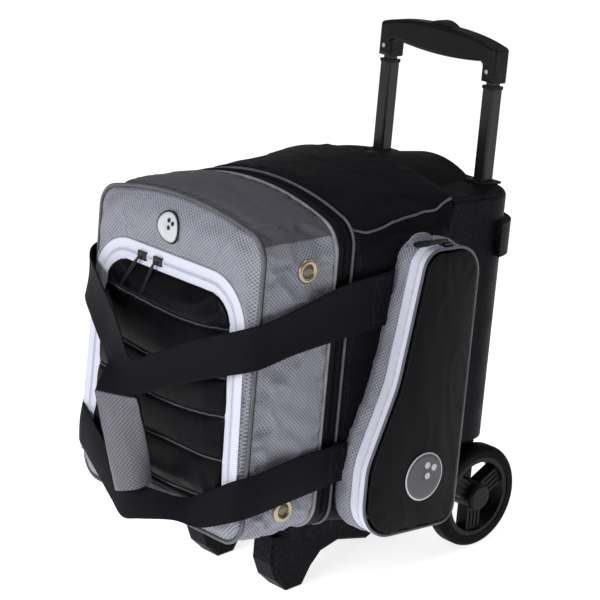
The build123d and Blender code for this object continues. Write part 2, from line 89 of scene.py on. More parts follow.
class Shader:
    """A Principled material with helpers that add and wire its nodes."""

    def __init__(self, name, colour, rough, **sockets):
        self.material = bpy.data.materials.new(name)
        self.material.use_nodes = True
        self.tree = self.material.node_tree
        self.bsdf = self.tree.nodes["Principled BSDF"]
        self.set("Base Color", (*colour, 1))
        self.set("Roughness", rough)
        for key, value in sockets.items():
            self.set(key.replace("_", " "), value)
        self.height = None

    def feed(self, target, value):
        """Links a socket to another node's output, or gives it a plain value."""
        if isinstance(value, bpy.types.NodeSocket):
            self.tree.links.new(value, target)
        else:
            target.default_value = value

    def set(self, socket, value):
        self.feed(self.bsdf.inputs[socket], value)

    def node(self, kind, props=None, **inputs):
        made = self.tree.nodes.new("ShaderNode" + kind)
        for key, value in (props or {}).items():
            setattr(made, key, value)
        for key, value in inputs.items():
            numbered = key[0] == "i" and key[1:].isdigit()
            self.feed(made.inputs[int(key[1:]) if numbered else key], value)
        return made.outputs

    def math(self, kind, a, b):
        return self.node("Math", {"operation": kind}, i0=a, i1=b)[0]

    def uv(self):
        return self.node("UVMap", {"uv_map": "metres"})[0]

    def place(self):
        return self.node("TexCoord")["Object"]

    def bands(self, vector, period, angle=0.0):
        """Waves of one period in metres across a direction, from 0 to 1."""
        turned = self.node("Mapping", Vector=vector, Rotation=(0, 0, math.radians(angle)))[0]
        return self.node("TexWave", {"wave_type": "BANDS", "bands_direction": "X"}, Vector=turned,
                         Scale=math.pi / 10 / period)["Fac"]

    def noise(self, vector, size, detail=2.0, stretch=None):
        """Soft noise with features of about one size in metres."""
        if stretch:
            vector = self.node("Mapping", Vector=vector, Scale=stretch)[0]
        return self.node("TexNoise", Vector=vector, Scale=1 / size, Detail=detail)["Fac"]

    def ramp(self, value, low, high, to_low=0.0, to_high=1.0):
        return self.node("MapRange", {"clamp": True}, Value=value, **{
            "From Min": low, "From Max": high, "To Min": to_low, "To Max": to_high})["Result"]

    def mix(self, factor, first, second):
        made = self.tree.nodes.new("ShaderNodeMix")
        made.data_type = "RGBA"
        for socket, value in ((0, factor), (6, first), (7, second)):
            colour = isinstance(value, (tuple, list))
            self.feed(made.inputs[socket], (*value, 1) if colour else value)
        return made.outputs[2]

    def bump(self, height, depth, strength=1.0):
        """Adds one layer of relief with a depth in metres."""
        inputs = {"Height": height, "Distance": depth, "Strength": strength}
        if self.height is not None:
            inputs["Normal"] = self.height
        self.height = self.node("Bump", **inputs)["Normal"]
        self.set("Normal", self.height)


def tinted(shader, colour, spread, vector, size):
    """Soft colour variation round a base colour."""
    patch = shader.ramp(shader.noise(vector, size, 4), 0.3, 0.7)
    dark = [c * (1 - spread) for c in colour]
    light = [c * (1 + spread) for c in colour]
    return shader.mix(patch, dark, light)


def ripstop(name, colour, line, pitch, angle, rough=0.5):
    """Coated ripstop: a fine weave with raised crossing threads."""
    s = Shader(name, colour, rough, Specular_IOR_Level=0.4)
    uv = s.uv()
    one = s.bands(uv, pitch, angle)
    two = s.bands(uv, pitch, -angle)
    grid = s.math("MAXIMUM", s.ramp(one, 0.55, 0.95), s.ramp(two, 0.55, 0.95))
    weave = s.math("MULTIPLY", s.bands(uv, 0.0007), s.bands(uv, 0.0007, 90))
    base = tinted(s, colour, 0.10, uv, 0.03)
    s.set("Base Color", s.mix(s.ramp(grid, 0, 1, 0, 0.8), base, line))
    s.set("Roughness", s.ramp(grid, 0, 1, rough + 0.08, rough - 0.12))
    s.bump(weave, 0.00012, 0.5)
    s.bump(grid, 0.00025, 0.55)
    s.bump(s.noise(uv, 0.012, 3), 0.0008, 0.5)
    return s.material


def cloth(name, colour, rough, pitch=0.0011, relief=0.00018, sheen=0.02, crease=0.0006, gloss=0.2):
    """Plain woven nylon."""
    s = Shader(name, colour, rough, Sheen_Weight=sheen, Sheen_Roughness=0.3, Specular_IOR_Level=gloss)
    uv = s.uv()
    one, two = s.bands(uv, pitch), s.bands(uv, pitch, 90)
    weave = s.math("MULTIPLY", one, two)
    s.set("Base Color", tinted(s, colour, 0.22, uv, 0.02))
    s.set("Roughness", s.ramp(weave, 0, 1, rough + 0.1, rough - 0.06))
    s.bump(weave, relief, 0.7)
    s.bump(s.noise(uv, 0.010, 3), crease, 0.5)
    return s.material


def ribbed(name, colour, rough, pitch, relief, gloss=0.3, across=0.0):
    """Woven tape or cloth with ribs across its length."""
    s = Shader(name, colour, rough, Specular_IOR_Level=gloss)
    uv = s.uv()
    rib = s.bands(uv, pitch, across)
    yarn = s.bands(uv, pitch * 0.62, across + 90)
    s.set("Base Color", s.mix(s.ramp(rib, 0, 1, 0, 0.6), [c * 0.72 for c in colour], colour))
    s.bump(rib, relief, 0.8)
    s.bump(yarn, relief * 0.5, 0.5)
    s.bump(s.noise(uv, 0.02, 2), 0.0006, 0.4)
    return s.material


def webbing(name, colour):
    """Twill webbing: diagonal ribs that change direction from stripe to stripe."""
    s = Shader(name, colour, 0.6, Specular_IOR_Level=0.06)
    uv = s.uv()
    stripe = s.ramp(s.bands(uv, 0.0085, 90), 0.49, 0.51)
    twill = s.node("Mix", {"data_type": "FLOAT"}, i0=stripe, i2=s.bands(uv, 0.0017, 55),
                   i3=s.bands(uv, 0.0017, -55))[0]
    s.set("Base Color", s.mix(s.ramp(twill, 0, 1, 0, 1), [c * 0.75 for c in colour],
                              [c * 1.25 for c in colour]))
    s.bump(twill, 0.0003, 0.6)
    s.bump(s.noise(uv, 0.03, 2), 0.001, 0.4)
    return s.material


def vinyl(name, colour, rough):
    """Glossy coated vinyl with a fine grain and soft rub marks."""
    s = Shader(name, colour, rough, Specular_IOR_Level=0.07)
    at = s.place()
    grain = s.node("TexVoronoi", {"feature": "DISTANCE_TO_EDGE"}, Vector=at, Scale=900.0)["Distance"]
    s.set("Base Color", tinted(s, colour, 0.3, at, 0.02))
    s.set("Roughness", s.ramp(s.noise(at, 0.02, 4), 0.3, 0.7, rough - 0.05, rough + 0.09))
    s.bump(s.ramp(grain, 0, 0.25), 0.00008, 0.5)
    s.bump(s.noise(at, 0.006, 3), 0.0003, 0.4)
    return s.material


def plastic(name, colour, rough, grain=0.0009, relief=0.00012, wear=0.4, gloss=0.25):
    """Moulded plastic with a spark-eroded grain and paler rubbed edges."""
    s = Shader(name, colour, rough, Specular_IOR_Level=gloss)
    at = s.place()
    edge = s.ramp(s.node("NewGeometry")["Pointiness"], 0.52, 0.60)
    scuff = s.math("MULTIPLY", edge, s.ramp(s.noise(at, 0.004, 3), 0.45, 0.7))
    base = tinted(s, colour, 0.12, at, 0.05)
    s.set("Base Color", s.mix(s.math("MULTIPLY", scuff, wear), base, [c * 3 + 0.02 for c in colour]))
    s.set("Roughness", s.ramp(s.noise(at, 0.03, 3), 0.3, 0.7, rough - 0.06, rough + 0.08))
    s.bump(s.noise(at, grain, 2), relief, 0.6)
    return s.material


def metal(name, colour, rough, streak=(1, 1, 1), coated=False):
    """Metal, or black anodised tube when coated, with fine drawn streaks."""
    s = Shader(name, colour, rough, Metallic=0.0 if coated else 1.0,
               Specular_IOR_Level=0.35 if coated else 0.5)
    at = s.place()
    line = s.noise(at, 0.0012, 3, streak)
    s.set("Base Color", tinted(s, colour, 0.15, at, 0.03))
    s.set("Roughness", s.ramp(line, 0.3, 0.7, rough - 0.07, rough + 0.1))
    s.bump(line, 0.00004, 0.5)
    return s.material


# Each material: its maker, then what the maker takes after the name. Lengths are in metres.
LOOKS = {
    "ripstop_grey": (ripstop, (0.125, 0.127, 0.156), (0.36, 0.365, 0.43), 0.0032, 45),
    # The wrap's ripstop is ripstop_grey at about half its brightness: painted shade, because the wrap faces
    # away from the lamps.
    "ripstop_wrap": (ripstop, (0.062, 0.062, 0.074), (0.19, 0.19, 0.225), 0.0032, 45),
    "ripstop_top": (ribbed, (0.100, 0.101, 0.123), 0.5, 0.0022, 0.0002, 0.3, 0.0),
    "nylon_black": (cloth, (0.0045, 0.0045, 0.0066), 0.6, 0.0011, 0.00018, 0.02, 0.0006, 0.08),
    "vinyl_black": (vinyl, (0.0024, 0.0024, 0.0036), 0.36),
    # Lighter vinyl for the ridges on the flap's seams: painted highlight along the folded seam edges.
    "vinyl_edge": (vinyl, (0.075, 0.075, 0.085), 0.3),
    "piping_grey": (cloth, (0.23, 0.23, 0.25), 0.45, 0.0012, 0.0001, 0.05, 0.0002, 0.4),
    "piping_dark": (cloth, (0.095, 0.096, 0.112), 0.45, 0.0012, 0.0001, 0.05, 0.0002, 0.4),
    "zip_white": (ribbed, (0.80, 0.815, 0.95), 0.55, 0.0024, 0.0002, 0.2),
    "zip_black": (ribbed, (0.007, 0.007, 0.009), 0.6, 0.0016, 0.0002, 0.12),
    "webbing_black": (webbing, (0.0062, 0.0062, 0.0088)),
    "lining": (cloth, (0.02, 0.02, 0.023), 0.7, 0.0014),
    "shell_plastic": (plastic, (0.0040, 0.0042, 0.0060), 0.5, 0.0009, 0.00012, 0.4, 0.05),
    "handle_plastic": (plastic, (0.005, 0.005, 0.006), 0.42, 0.0007, 0.0001, 0.4, 0.14),
    "board": (plastic, (0.02, 0.02, 0.021), 0.6),
    "foam": (plastic, (0.03, 0.03, 0.032), 0.85, 0.0022, 0.0006, 0.0),
    "steel": (metal, (0.55, 0.55, 0.56), 0.35),
    "aluminium_tube": (metal, (0.5, 0.5, 0.52), 0.38, (6, 6, 0.1)),
    "tube_black": (metal, (0.008, 0.008, 0.009), 0.3, (6, 6, 0.1), True),
    "wheel_plastic": (plastic, (0.0045, 0.0045, 0.0055), 0.38, 0.0008, 0.0001, 0.4, 0.14),
    "tyre_rubber": (plastic, (0.0038, 0.0038, 0.0046), 0.5, 0.0012, 0.0002, 0.2, 0.04),
    "eyelet_metal": (metal, (0.40, 0.34, 0.24), 0.3),
    "slider_metal": (metal, (0.01, 0.01, 0.011), 0.25, (1, 1, 1), True),
    "pull_cord": (plastic, (0.012, 0.012, 0.013), 0.5, 0.001, 0.0002, 0.0),
    "thread_grey": (cloth, (0.42, 0.42, 0.44), 0.5, 0.0006, 0.0001),
    "thread_black": (cloth, (0.02, 0.02, 0.022), 0.45, 0.0006, 0.0001),
    "motif_white": (ribbed, (0.72, 0.73, 0.78), 0.45, 0.0011, 0.0002, 0.3, 30.0),
    "motif_grey": (ribbed, (0.12, 0.12, 0.13), 0.45, 0.0011, 0.0002, 0.3, 30.0),
    "motif_black": (ribbed, (0.012, 0.012, 0.013), 0.5, 0.0011, 0.0002, 0.3, 30.0),
}
M = {name: maker(name, *values) for name, (maker, *values) in LOOKS.items()}

# ---------------------------------------------------------------- mesh helpers

def piece(name, points, faces, body, look_of, slot=None, uv=None, smooth=True, replaces=()):
    """A mesh piece from bag-frame points that rides on a body. uv is per point or per face corner."""
    mesh = bpy.data.meshes.new(name)
    mesh.from_pydata([tuple(row(p)) for p in points], [], faces)
    mesh.update()
    if uv is not None:
        layer = mesh.uv_layers.new(name="metres")
        corner = np.empty(len(mesh.loops), np.int32)
        mesh.loops.foreach_get("vertex_index", corner)
        flat = np.asarray(uv, np.float32)
        per_corner = flat if len(flat) == len(mesh.loops) else flat[corner]
        layer.data.foreach_set("uv", per_corner.ravel())
    mesh.materials.append(M[look_of])
    mesh.polygons.foreach_set("use_smooth", [smooth] * len(mesh.polygons))
    obj = bpy.data.objects.new(name, mesh)
    SCENE.collection.objects.link(obj)
    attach(obj, body)
    if replaces:
        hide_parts(*replaces)
    return obj


def sheet_uv(rows, closed):
    """Per-corner texture coordinates in metres for a grid of rows of points."""
    rows = np.asarray(rows, float)
    count = rows.shape[1]
    ring = np.concatenate([rows, rows[:, :1]], 1) if closed else rows
    along = np.concatenate([[0], np.cumsum(np.linalg.norm(np.diff(ring, axis=1), axis=2).mean(0))])
    down = np.concatenate([[0], np.cumsum(np.linalg.norm(np.diff(rows, axis=0), axis=2).mean(1))])
    return along / 1000, down / 1000, count


def grid(name, rows, body, look_of, closed=False, flip=False, **more):
    """A sheet through rows of bag-frame points, with texture coordinates in metres."""
    rows = np.asarray(rows, float)
    along, down, count = sheet_uv(rows, closed)
    faces, uv = [], []
    wide = count if closed else count - 1
    for r in range(len(rows) - 1):
        for c in range(wide):
            d = (c + 1) % count
            face = [r * count + c, r * count + d, (r + 1) * count + d, (r + 1) * count + c]
            spots = [(along[c], down[r]), (along[c + 1], down[r]), (along[c + 1], down[r + 1]),
                     (along[c], down[r + 1])]
            if flip:
                face.reverse()
                spots.reverse()
            faces.append(face)
            uv.extend(spots)
    return piece(name, rows.reshape(-1, 3), faces, body, look_of, uv=uv, **more)


def applied(obj):
    """Applies every modifier on a piece."""
    bpy.context.view_layer.update()
    graph = bpy.context.evaluated_depsgraph_get()
    mesh = bpy.data.meshes.new_from_object(obj.evaluated_get(graph))
    obj.modifiers.clear()
    obj.data = mesh
    return obj


def thicken(obj, thick):
    """Gives a sheet its thickness, in millimetres, behind its face."""
    solid = obj.modifiers.new("thickness", "SOLIDIFY")
    solid.thickness = thick / 1000
    solid.offset = -1
    solid.use_even_offset = False
    return applied(obj)


def smoothed(obj):
    """One level of subdivision, applied."""
    sub = obj.modifiers.new("subdivision", "SUBSURF")
    sub.levels = sub.render_levels = 1
    return applied(obj)


def mended(obj, weld=False, fill=None):
    """Welds doubled points, or fills holes of up to fill sides, and turns the faces outward."""
    work = bmesh.new()
    work.from_mesh(obj.data)
    if weld:
        bmesh.ops.remove_doubles(work, verts=work.verts, dist=1e-6)
    if fill is not None:
        bmesh.ops.holes_fill(work, edges=work.edges, sides=fill)
    bmesh.ops.recalc_face_normals(work, faces=work.faces)
    work.to_mesh(obj.data)
    work.free()
    return obj


def coordinates(obj):
    """A piece's points as an array, in the row frame."""
    co = np.empty(len(obj.data.vertices) * 3, np.float32)
    obj.data.vertices.foreach_get("co", co)
    return co.reshape(-1, 3).astype(float)


def move_points(obj, shift):
    """Moves each vertex by shift(bag-frame point, bag-frame normal), in millimetres."""
    turn = TILT.to_3x3()
    back = turn.inverted()
    normals = [v.normal.copy() for v in obj.data.vertices]
    for vertex, normal in zip(obj.data.vertices, normals):
        offset = shift(TO_BAG @ vertex.co, back @ normal)
        if offset is not None:
            vertex.co += turn @ (Vector(offset) * 0.001)
    obj.data.update()
    return obj


def wrinkle(p, size, stretch=(1, 1, 1), seed=0.0):
    """Ridged noise of one size in millimetres, from -1 to 1."""
    q = Vector((p[0] * stretch[0], p[1] * stretch[1], p[2] * stretch[2])) / size
    q += Vector((seed, seed * 1.7, -seed))
    return noise.noise(q) + 0.5 * noise.noise(q * 2.1)


SIM_FRAMES = 20


def rim_pins(count, rows):
    """Full pins for the first and the last of some rows of points."""
    return [(i, 1.0) for i in [*range(count), *range(count * (rows - 1), count * rows)]]


# Stiffness against stretching and against bending.
THIN, WRAP, PAD = (8.0, 0.15), (10.0, 0.3), (10.0, 0.6)


def simulate(obj, pressure, growth, cap, pins, feel):
    """Relaxes a piece as cloth under pressure, held at its pins, and moves no point more than cap mm."""
    stiff, bend = feel
    start = coordinates(obj)
    mod = obj.modifiers.new("cloth", "CLOTH")
    cloth_set = mod.settings
    cloth_set.quality = 6
    cloth_set.mass = 0.25
    cloth_set.tension_stiffness = cloth_set.compression_stiffness = stiff
    cloth_set.shear_stiffness = stiff * 0.6
    cloth_set.bending_stiffness = bend
    cloth_set.effector_weights.gravity = 0
    cloth_set.use_pressure = True
    cloth_set.uniform_pressure_force = pressure
    cloth_set.shrink_min = -growth
    mod.collision_settings.use_collision = False
    mod.collision_settings.use_self_collision = False
    group = obj.vertex_groups.new(name="pins")
    for index, weight in pins:
        group.add([index], weight, "REPLACE")
    cloth_set.vertex_group_mass = "pins"
    mod.point_cache.frame_start = 1
    mod.point_cache.frame_end = SIM_FRAMES
    for number in range(1, SIM_FRAMES + 1):
        SCENE.frame_set(number)
    applied(obj)
    obj.vertex_groups.clear()
    end = coordinates(obj)
    if len(end) == len(start):
        move = end - start
        far = np.linalg.norm(move, axis=1)
        scale = np.minimum(1, cap / 1000 / np.maximum(far, 1e-9))
        end = start + move * scale[:, None]
        obj.data.vertices.foreach_set("co", end.astype(np.float32).ravel())
        obj.data.update()
    SCENE.frame_set(1)
    return obj


def remesh(obj, voxel):
    """Voxel remesh at one size in millimetres."""
    mod = obj.modifiers.new("remesh", "REMESH")
    mod.mode = "VOXEL"
    mod.voxel_size = voxel / 1000
    mod.use_smooth_shade = True
    return applied(obj)


def along(points, step=None, count=None, closed=False):
    """Points re-spaced evenly along a polyline."""
    pts = np.asarray(points, float)
    if closed:
        pts = np.concatenate([pts, pts[:1]])
    run = np.concatenate([[0], np.cumsum(np.linalg.norm(np.diff(pts, axis=0), axis=1))])
    if count is None:
        count = max(2, int(round(run[-1] / step)) + (0 if closed else 1))
    at = np.linspace(0, run[-1], count, endpoint=not closed)
    return np.stack([np.interp(at, run, pts[:, k]) for k in range(pts.shape[1])], 1)


def eased(stations, count):
    """A smooth curve through rows of numbers."""
    s = np.asarray(stations, float)
    knots = np.concatenate([[0], np.cumsum(np.sqrt(np.linalg.norm(np.diff(s, axis=0), axis=1)))])
    grown = np.concatenate([[2 * s[0] - s[1]], s, [2 * s[-1] - s[-2]]])
    rate = (grown[2:] - grown[:-2]) / 2
    out = []
    for t in np.linspace(0, knots[-1], count):
        k = min(np.searchsorted(knots, t, "right") - 1, len(s) - 2)
        u = (t - knots[k]) / (knots[k + 1] - knots[k])
        a, b = s[k], s[k + 1]
        out.append((2 * u**3 - 3 * u**2 + 1) * a + (u**3 - 2 * u**2 + u) * rate[k]
                   + (3 * u**2 - 2 * u**3) * b + (u**3 - u**2) * rate[k + 1])
    return np.array(out)


def frames(points, closed):
    """Tangents and two perpendiculars at each point of a path."""
    p = np.asarray(points, float)
    ahead = np.roll(p, -1, 0) - np.roll(p, 1, 0)
    if not closed:
        ahead[0], ahead[-1] = p[1] - p[0], p[-1] - p[-2]
    t = ahead / np.linalg.norm(ahead, axis=1)[:, None]
    side = np.cross(t, [0, 0, 1])
    weak = np.linalg.norm(side, axis=1) < 0.25
    side[weak] = np.cross(t[weak], [0, 1, 0])
    for k in range(1, len(side)):
        flat = side[k - 1] - t[k] * np.dot(side[k - 1], t[k])
        side[k] = flat if np.linalg.norm(flat) > 1e-6 else side[k]
        side[k] /= np.linalg.norm(side[k])
    side[0] /= np.linalg.norm(side[0])
    return t, side, np.cross(t, side)


def tube(name, points, radius, body, look_of, closed=False, sides=10, **more):
    """A round tube along a path, with closed ends."""
    p = np.asarray(points, float)
    t, a, b = frames(p, closed)
    rows = []
    for k in range(sides):
        turn = 2 * math.pi * k / sides
        rows.append(p + radius * (math.cos(turn) * a + math.sin(turn) * b))
    rows = np.array(rows).transpose(1, 0, 2)
    if closed:
        rows = np.concatenate([rows, rows[:1]])
    obj = grid(name, rows, body, look_of, closed=True, flip=True, **more)
    return mended(obj, weld=True) if closed else mended(obj, fill=sides)


def closed_pad(name, outlines, body, node, voxel):
    """A vinyl pad through stacked outlines, closed at both ends and remeshed evenly."""
    rows = np.array(outlines)
    layers, count = rows.shape[:2]
    faces = [[r * count + c, r * count + (c + 1) % count, (r + 1) * count + (c + 1) % count,
              (r + 1) * count + c]
             for r in range(layers - 1) for c in range(count)]
    faces += [list(range(count))[::-1], list(range((layers - 1) * count, layers * count))]
    pad = piece(name, rows.reshape(-1, 3), faces, body, "vinyl_black", replaces=[node])
    return remesh(mended(pad), voxel)


def full_turn(count):
    """Evenly spaced angles round a circle."""
    return np.linspace(0, 2 * math.pi, count, endpoint=False)


def cells(name, spots, size, body, look_of, **more):
    """Many small pillow blocks. Each spot is a centre with its length, width and height directions."""
    corners = [(-1, -1, -1), (1, -1, -1), (1, 1, -1), (-1, 1, -1), (-0.7, -0.7, 1), (0.7, -0.7, 1),
               (0.7, 0.7, 1), (-0.7, 0.7, 1)]
    quads = [(3, 2, 1, 0), (4, 5, 6, 7), (0, 1, 5, 4), (1, 2, 6, 5), (2, 3, 7, 6), (3, 0, 4, 7)]
    points, faces, uv = [], [], []
    for n, (centre, length, width, height) in enumerate(spots):
        for a, b, c in corners:
            points.append(centre + length * (a * size[0] / 2) + width * (b * size[1] / 2)
                          + height * (c * size[2] / 2))
            uv.append((a * size[0] / 2000, b * size[1] / 2000))
        faces.extend([[8 * n + k for k in quad] for quad in quads])
    return piece(name, points, faces, body, look_of, uv=uv, smooth=False, **more)


def tree_of(obj):
    """A search tree over a piece's faces, in the row frame."""
    return BVHTree.FromPolygons([v.co.copy() for v in obj.data.vertices],
                                [list(f.vertices) for f in obj.data.polygons])


def laid(tree, points, way, lift, start=60.0):
    """Points moved along a bag-frame direction onto a surface within start mm, with its normal at each."""
    turn = TILT.to_3x3()
    aim = (turn @ Vector(way)).normalized()
    back = turn.inverted()
    found = []
    for p in points:
        hit, normal, _, _ = tree.ray_cast(row(p) - aim * start / 1000, aim, 2 * start / 1000)
        if hit is not None:
            if normal.dot(aim) > 0:
                normal = -normal
            spot = TO_BAG @ hit
            up = (back @ normal).normalized()
            found.append((np.array(spot) + np.array(up) * lift, np.array(up)))
    return found


def stitches(name, tree, paths, way, body, look_of, slot, pitch=3.6, size=(2.5, 0.75, 0.6)):
    """Rows of raised stitches on a surface."""
    spots = []
    for path in paths:
        found = laid(tree, along(path, pitch), way, 0.15)
        for (p, up), (q, _) in zip(found, found[1:]):
            ahead = q - p
            gap = np.linalg.norm(ahead)
            if 0.5 * pitch < gap < 2 * pitch:
                ahead = ahead / gap
                spots.append(((p + q) / 2, ahead, np.cross(up, ahead), up))
    return cells(name, spots, size, body, look_of, slot=slot)


def side_stitches(name, tree, depths, heights, body, look_of, slot):
    """Upright rows of stitches at the given depths, on the right and then the left side of a wall."""
    for side, x, way in (("right", 200, LEFT), ("left", -200, RIGHT)):
        paths = [[(x, y, z) for z in heights] for y in depths]
        stitches(f"{name}_{side}", tree, paths, way, body, look_of, slot)


def paint(look_of, *nodes):
    """Gives CAD nodes their finished material."""
    for name in nodes:
        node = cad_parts[name]
        if not node.data.materials:
            node.data.materials.append(None)
        for k in range(len(node.material_slots)):
            node.material_slots[k].material = M[look_of]


# ---------------------------------------------------------------- the bag's outlines

RIGHT, LEFT, AFT, UP, DOWN = (1, 0, 0), (-1, 0, 0), (0, 1, 0), (0, 0, 1), (0, 0, -1)


def section(y, half, bottom, shoulder, crown, radius):
    """One cross-section: half width, floor, height at the sides and the middle, and corner radius."""
    return np.array([y, half, bottom, shoulder, crown, radius], float)


# Depths at which the cloth walls start and end, in the order from the front of the bag to its back.
LID_START, LID_BACK, BODY_START, BODY_END = -383, -278, -252, -95
FRONT = section(-385, 142.0, 10, 357, 378, 28)
LID_REAR = section(LID_BACK, 143.5, 9, 358, 387, 36)
BODY_FRONT = section(BODY_START, 141.0, 8, 360, 389, 30)
BODY_REAR = section(BODY_END, 139.0, -8, 379, 404, 16)
FACE = -400       # depth just in front of the front face, from which its seams and motif are laid on it


def grown(s, by):
    """A section made larger on every side."""
    return s + np.array([0, by, -by, by, by, by])


def standing(flat, y):
    """Points at one depth, or a depth each, from X and Z pairs."""
    return np.stack([flat[:, 0], np.broadcast_to(y, len(flat)), flat[:, 1]], 1)


def sideways(flat, x):
    """Points at one distance from the mid-plane, from Y and Z pairs."""
    return np.stack([np.full(len(flat), x), flat[:, 0], flat[:, 1]], 1)


def arc(centre, radius, start, end, count):
    """Points along an arc in a plane."""
    turn = np.linspace(start, end, count)
    return np.stack([centre[0] + radius * np.cos(turn), centre[1] + radius * np.sin(turn)], 1)


def outline(s, count):
    """Evenly spaced X and Z points round one section, from the middle of the floor towards the right."""
    _, half, bottom, shoulder, crown, radius = s
    rise = crown - shoulder
    big = (half**2 + rise**2) / (2 * rise)
    hub = crown - big
    cx = half - radius
    cz = hub + math.sqrt((big - radius) ** 2 - cx**2)
    reach = math.atan2(cz - hub, cx)
    right = np.concatenate([
        [(0, bottom)],
        arc((cx, bottom + radius), radius, -math.pi / 2, 0, 24),
        arc((cx, cz), radius, 0, reach, 24),
        arc((0, hub), big, reach, math.pi / 2, 60),
    ])
    left = right[::-1][1:-1] * [-1, 1]
    return along(np.concatenate([right, left]), count=count, closed=True)


def loop(s, count, y=None):
    """The outline of one section as 3-D points."""
    flat = outline(s, count)
    return standing(flat, s[0] if y is None else y)


def loft(a, b, count, rows, puff=0.0):
    """Rows of points from one section to another, bulging between them."""
    first, last = loop(a, count), loop(b, count)
    out = []
    for f in np.linspace(0, 1, rows):
        ring = first + (last - first) * f
        swell = puff * math.sin(math.pi * f)
        out.append(ring + ring_normals(ring) * swell)
    return np.array(out)


def ring_normals(ring):
    """Outward normals, in the plane across the bag, of a closed loop."""
    ahead = np.roll(ring, -1, 0) - np.roll(ring, 1, 0)
    out = np.stack([ahead[:, 2], np.zeros(len(ring)), -ahead[:, 0]], 1)
    return out / np.linalg.norm(out, axis=1)[:, None]


def flap_line(grow, count, low=44.0):
    """The flap's inverted U in X and Z, from its left foot over the top to its right foot."""
    bottom, top, half_top, half_bottom, corner = 42.0, 300.0, 119.0, 128.0, 48.0
    slope = (half_bottom - half_top) / (top - bottom)
    top_z, wide_top = top + grow, half_top + grow - slope * grow
    wide_low = half_bottom + grow
    radius = corner + grow
    lean = math.atan(slope)
    reach = radius * math.tan((math.pi / 2 - lean) / 2)
    centre = (wide_top - reach, top_z - radius)
    foot = wide_low + (low - bottom) * (wide_top - wide_low) / (top_z - bottom)
    right = np.concatenate([[(foot, low)], arc(centre, radius, lean, math.pi / 2, 24)])
    left = right[::-1] * [-1, 1]
    return along(np.concatenate([right, left])[::-1], count=count)


# ---------------------------------------------------------------- shoe compartment

def fabric_folds(p, n, reach, size=26.0, seed=0.0, stretch=(1, 1, 1)):
    """Shallow folds along the normal of a fabric wall."""
    high = wrinkle(p, size, stretch, seed)
    ridge = 1 - min(1, abs(high) * 3.0)
    return n * (reach * (0.7 * high + 0.6 * ridge * ridge))


def fade(value, edge, soft):
    """0 at an edge, rising to 1 at a distance of soft from it."""
    return max(0.0, min(1.0, abs(value - edge) / soft))


VENTS = {"upper": (-321, 321), "lower": (-327, 45)}


def vent_gap(p):
    """Distance in millimetres from the nearest vent's middle, across the side of the bag."""
    if abs(p.x) < 100:
        return 1000.0
    return min(math.hypot(p.y - y, p.z - z) for y, z in VENTS.values())


def lid_walls():
    """The grey wall round the shoe compartment, ripstop at the sides and darker ribbed cloth on top."""
    count, rows = 420, 34
    shoulder_tilt = 0.6          # sideways part of the wall's normal where its sides meet its top
    top_cloth = 351              # height above which the wall is of ribbed cloth
    front = grown(FRONT, -0.6)
    front[0] = LID_START
    rear = grown(LID_REAR, -0.6)
    grid_rows = loft(front, rear, count, rows, 1.2)
    wall = grid("lid_wall", grid_rows, "lid", "ripstop_grey", closed=True, flip=True, replaces=["lid_shell"])
    pins = rim_pins(count, rows)
    pins += [(v.index, 1.0) for v in wall.data.vertices if vent_gap(TO_BAG @ v.co) < 15]
    simulate(wall, 2.0, 0.035, 5.0, pins, THIN)

    def crease(p, n):
        keep = fade(p.y, LID_START, 14) * fade(p.y, LID_BACK, 14) * min(1, max(0, vent_gap(p) - 14) / 12)
        side = abs(n.x) > shoulder_tilt
        blend = min(1.0, abs(abs(n.x) - shoulder_tilt) / 0.3)
        share = blend if side else 1 - blend
        stretch = (1, 0.75, 0.75) if side else (0.45, 1.5, 1)
        slant = Vector((p.x, p.y + 0.55 * p.z, p.z - 0.35 * p.y)) if side else p
        reach = (5.2 * share if side else 1.5 * (1 - share)) * keep
        folds = fabric_folds(slant, n, reach, 42 if side else 34, 3.1 if p.x > 0 else 8.3, stretch)
        return folds - n * (2.6 * keep * share)

    move_points(wall, crease)
    wall.data.materials.append(M["ripstop_top"])
    ring = outline(front, count)
    on_top = ring[:, 1] > top_cloth
    for k, face in enumerate(wall.data.polygons):
        face.material_index = 1 if on_top[k % count] else 0
    first = int(np.argmax(on_top))
    last = int(count - np.argmax(on_top[::-1]))
    seams = []
    for column in (first, last):
        seams.append([TO_BAG @ wall.data.vertices[r * count + column].co for r in range(1, rows - 1)])
    thicken(wall, 2.6)
    for side, line in zip(("right", "left"), seams):
        tube("lid_seam_" + side, along(line, 4.0), 0.9, "lid", "piping_dark", slot="ripstop_grey", sides=8)
    return wall


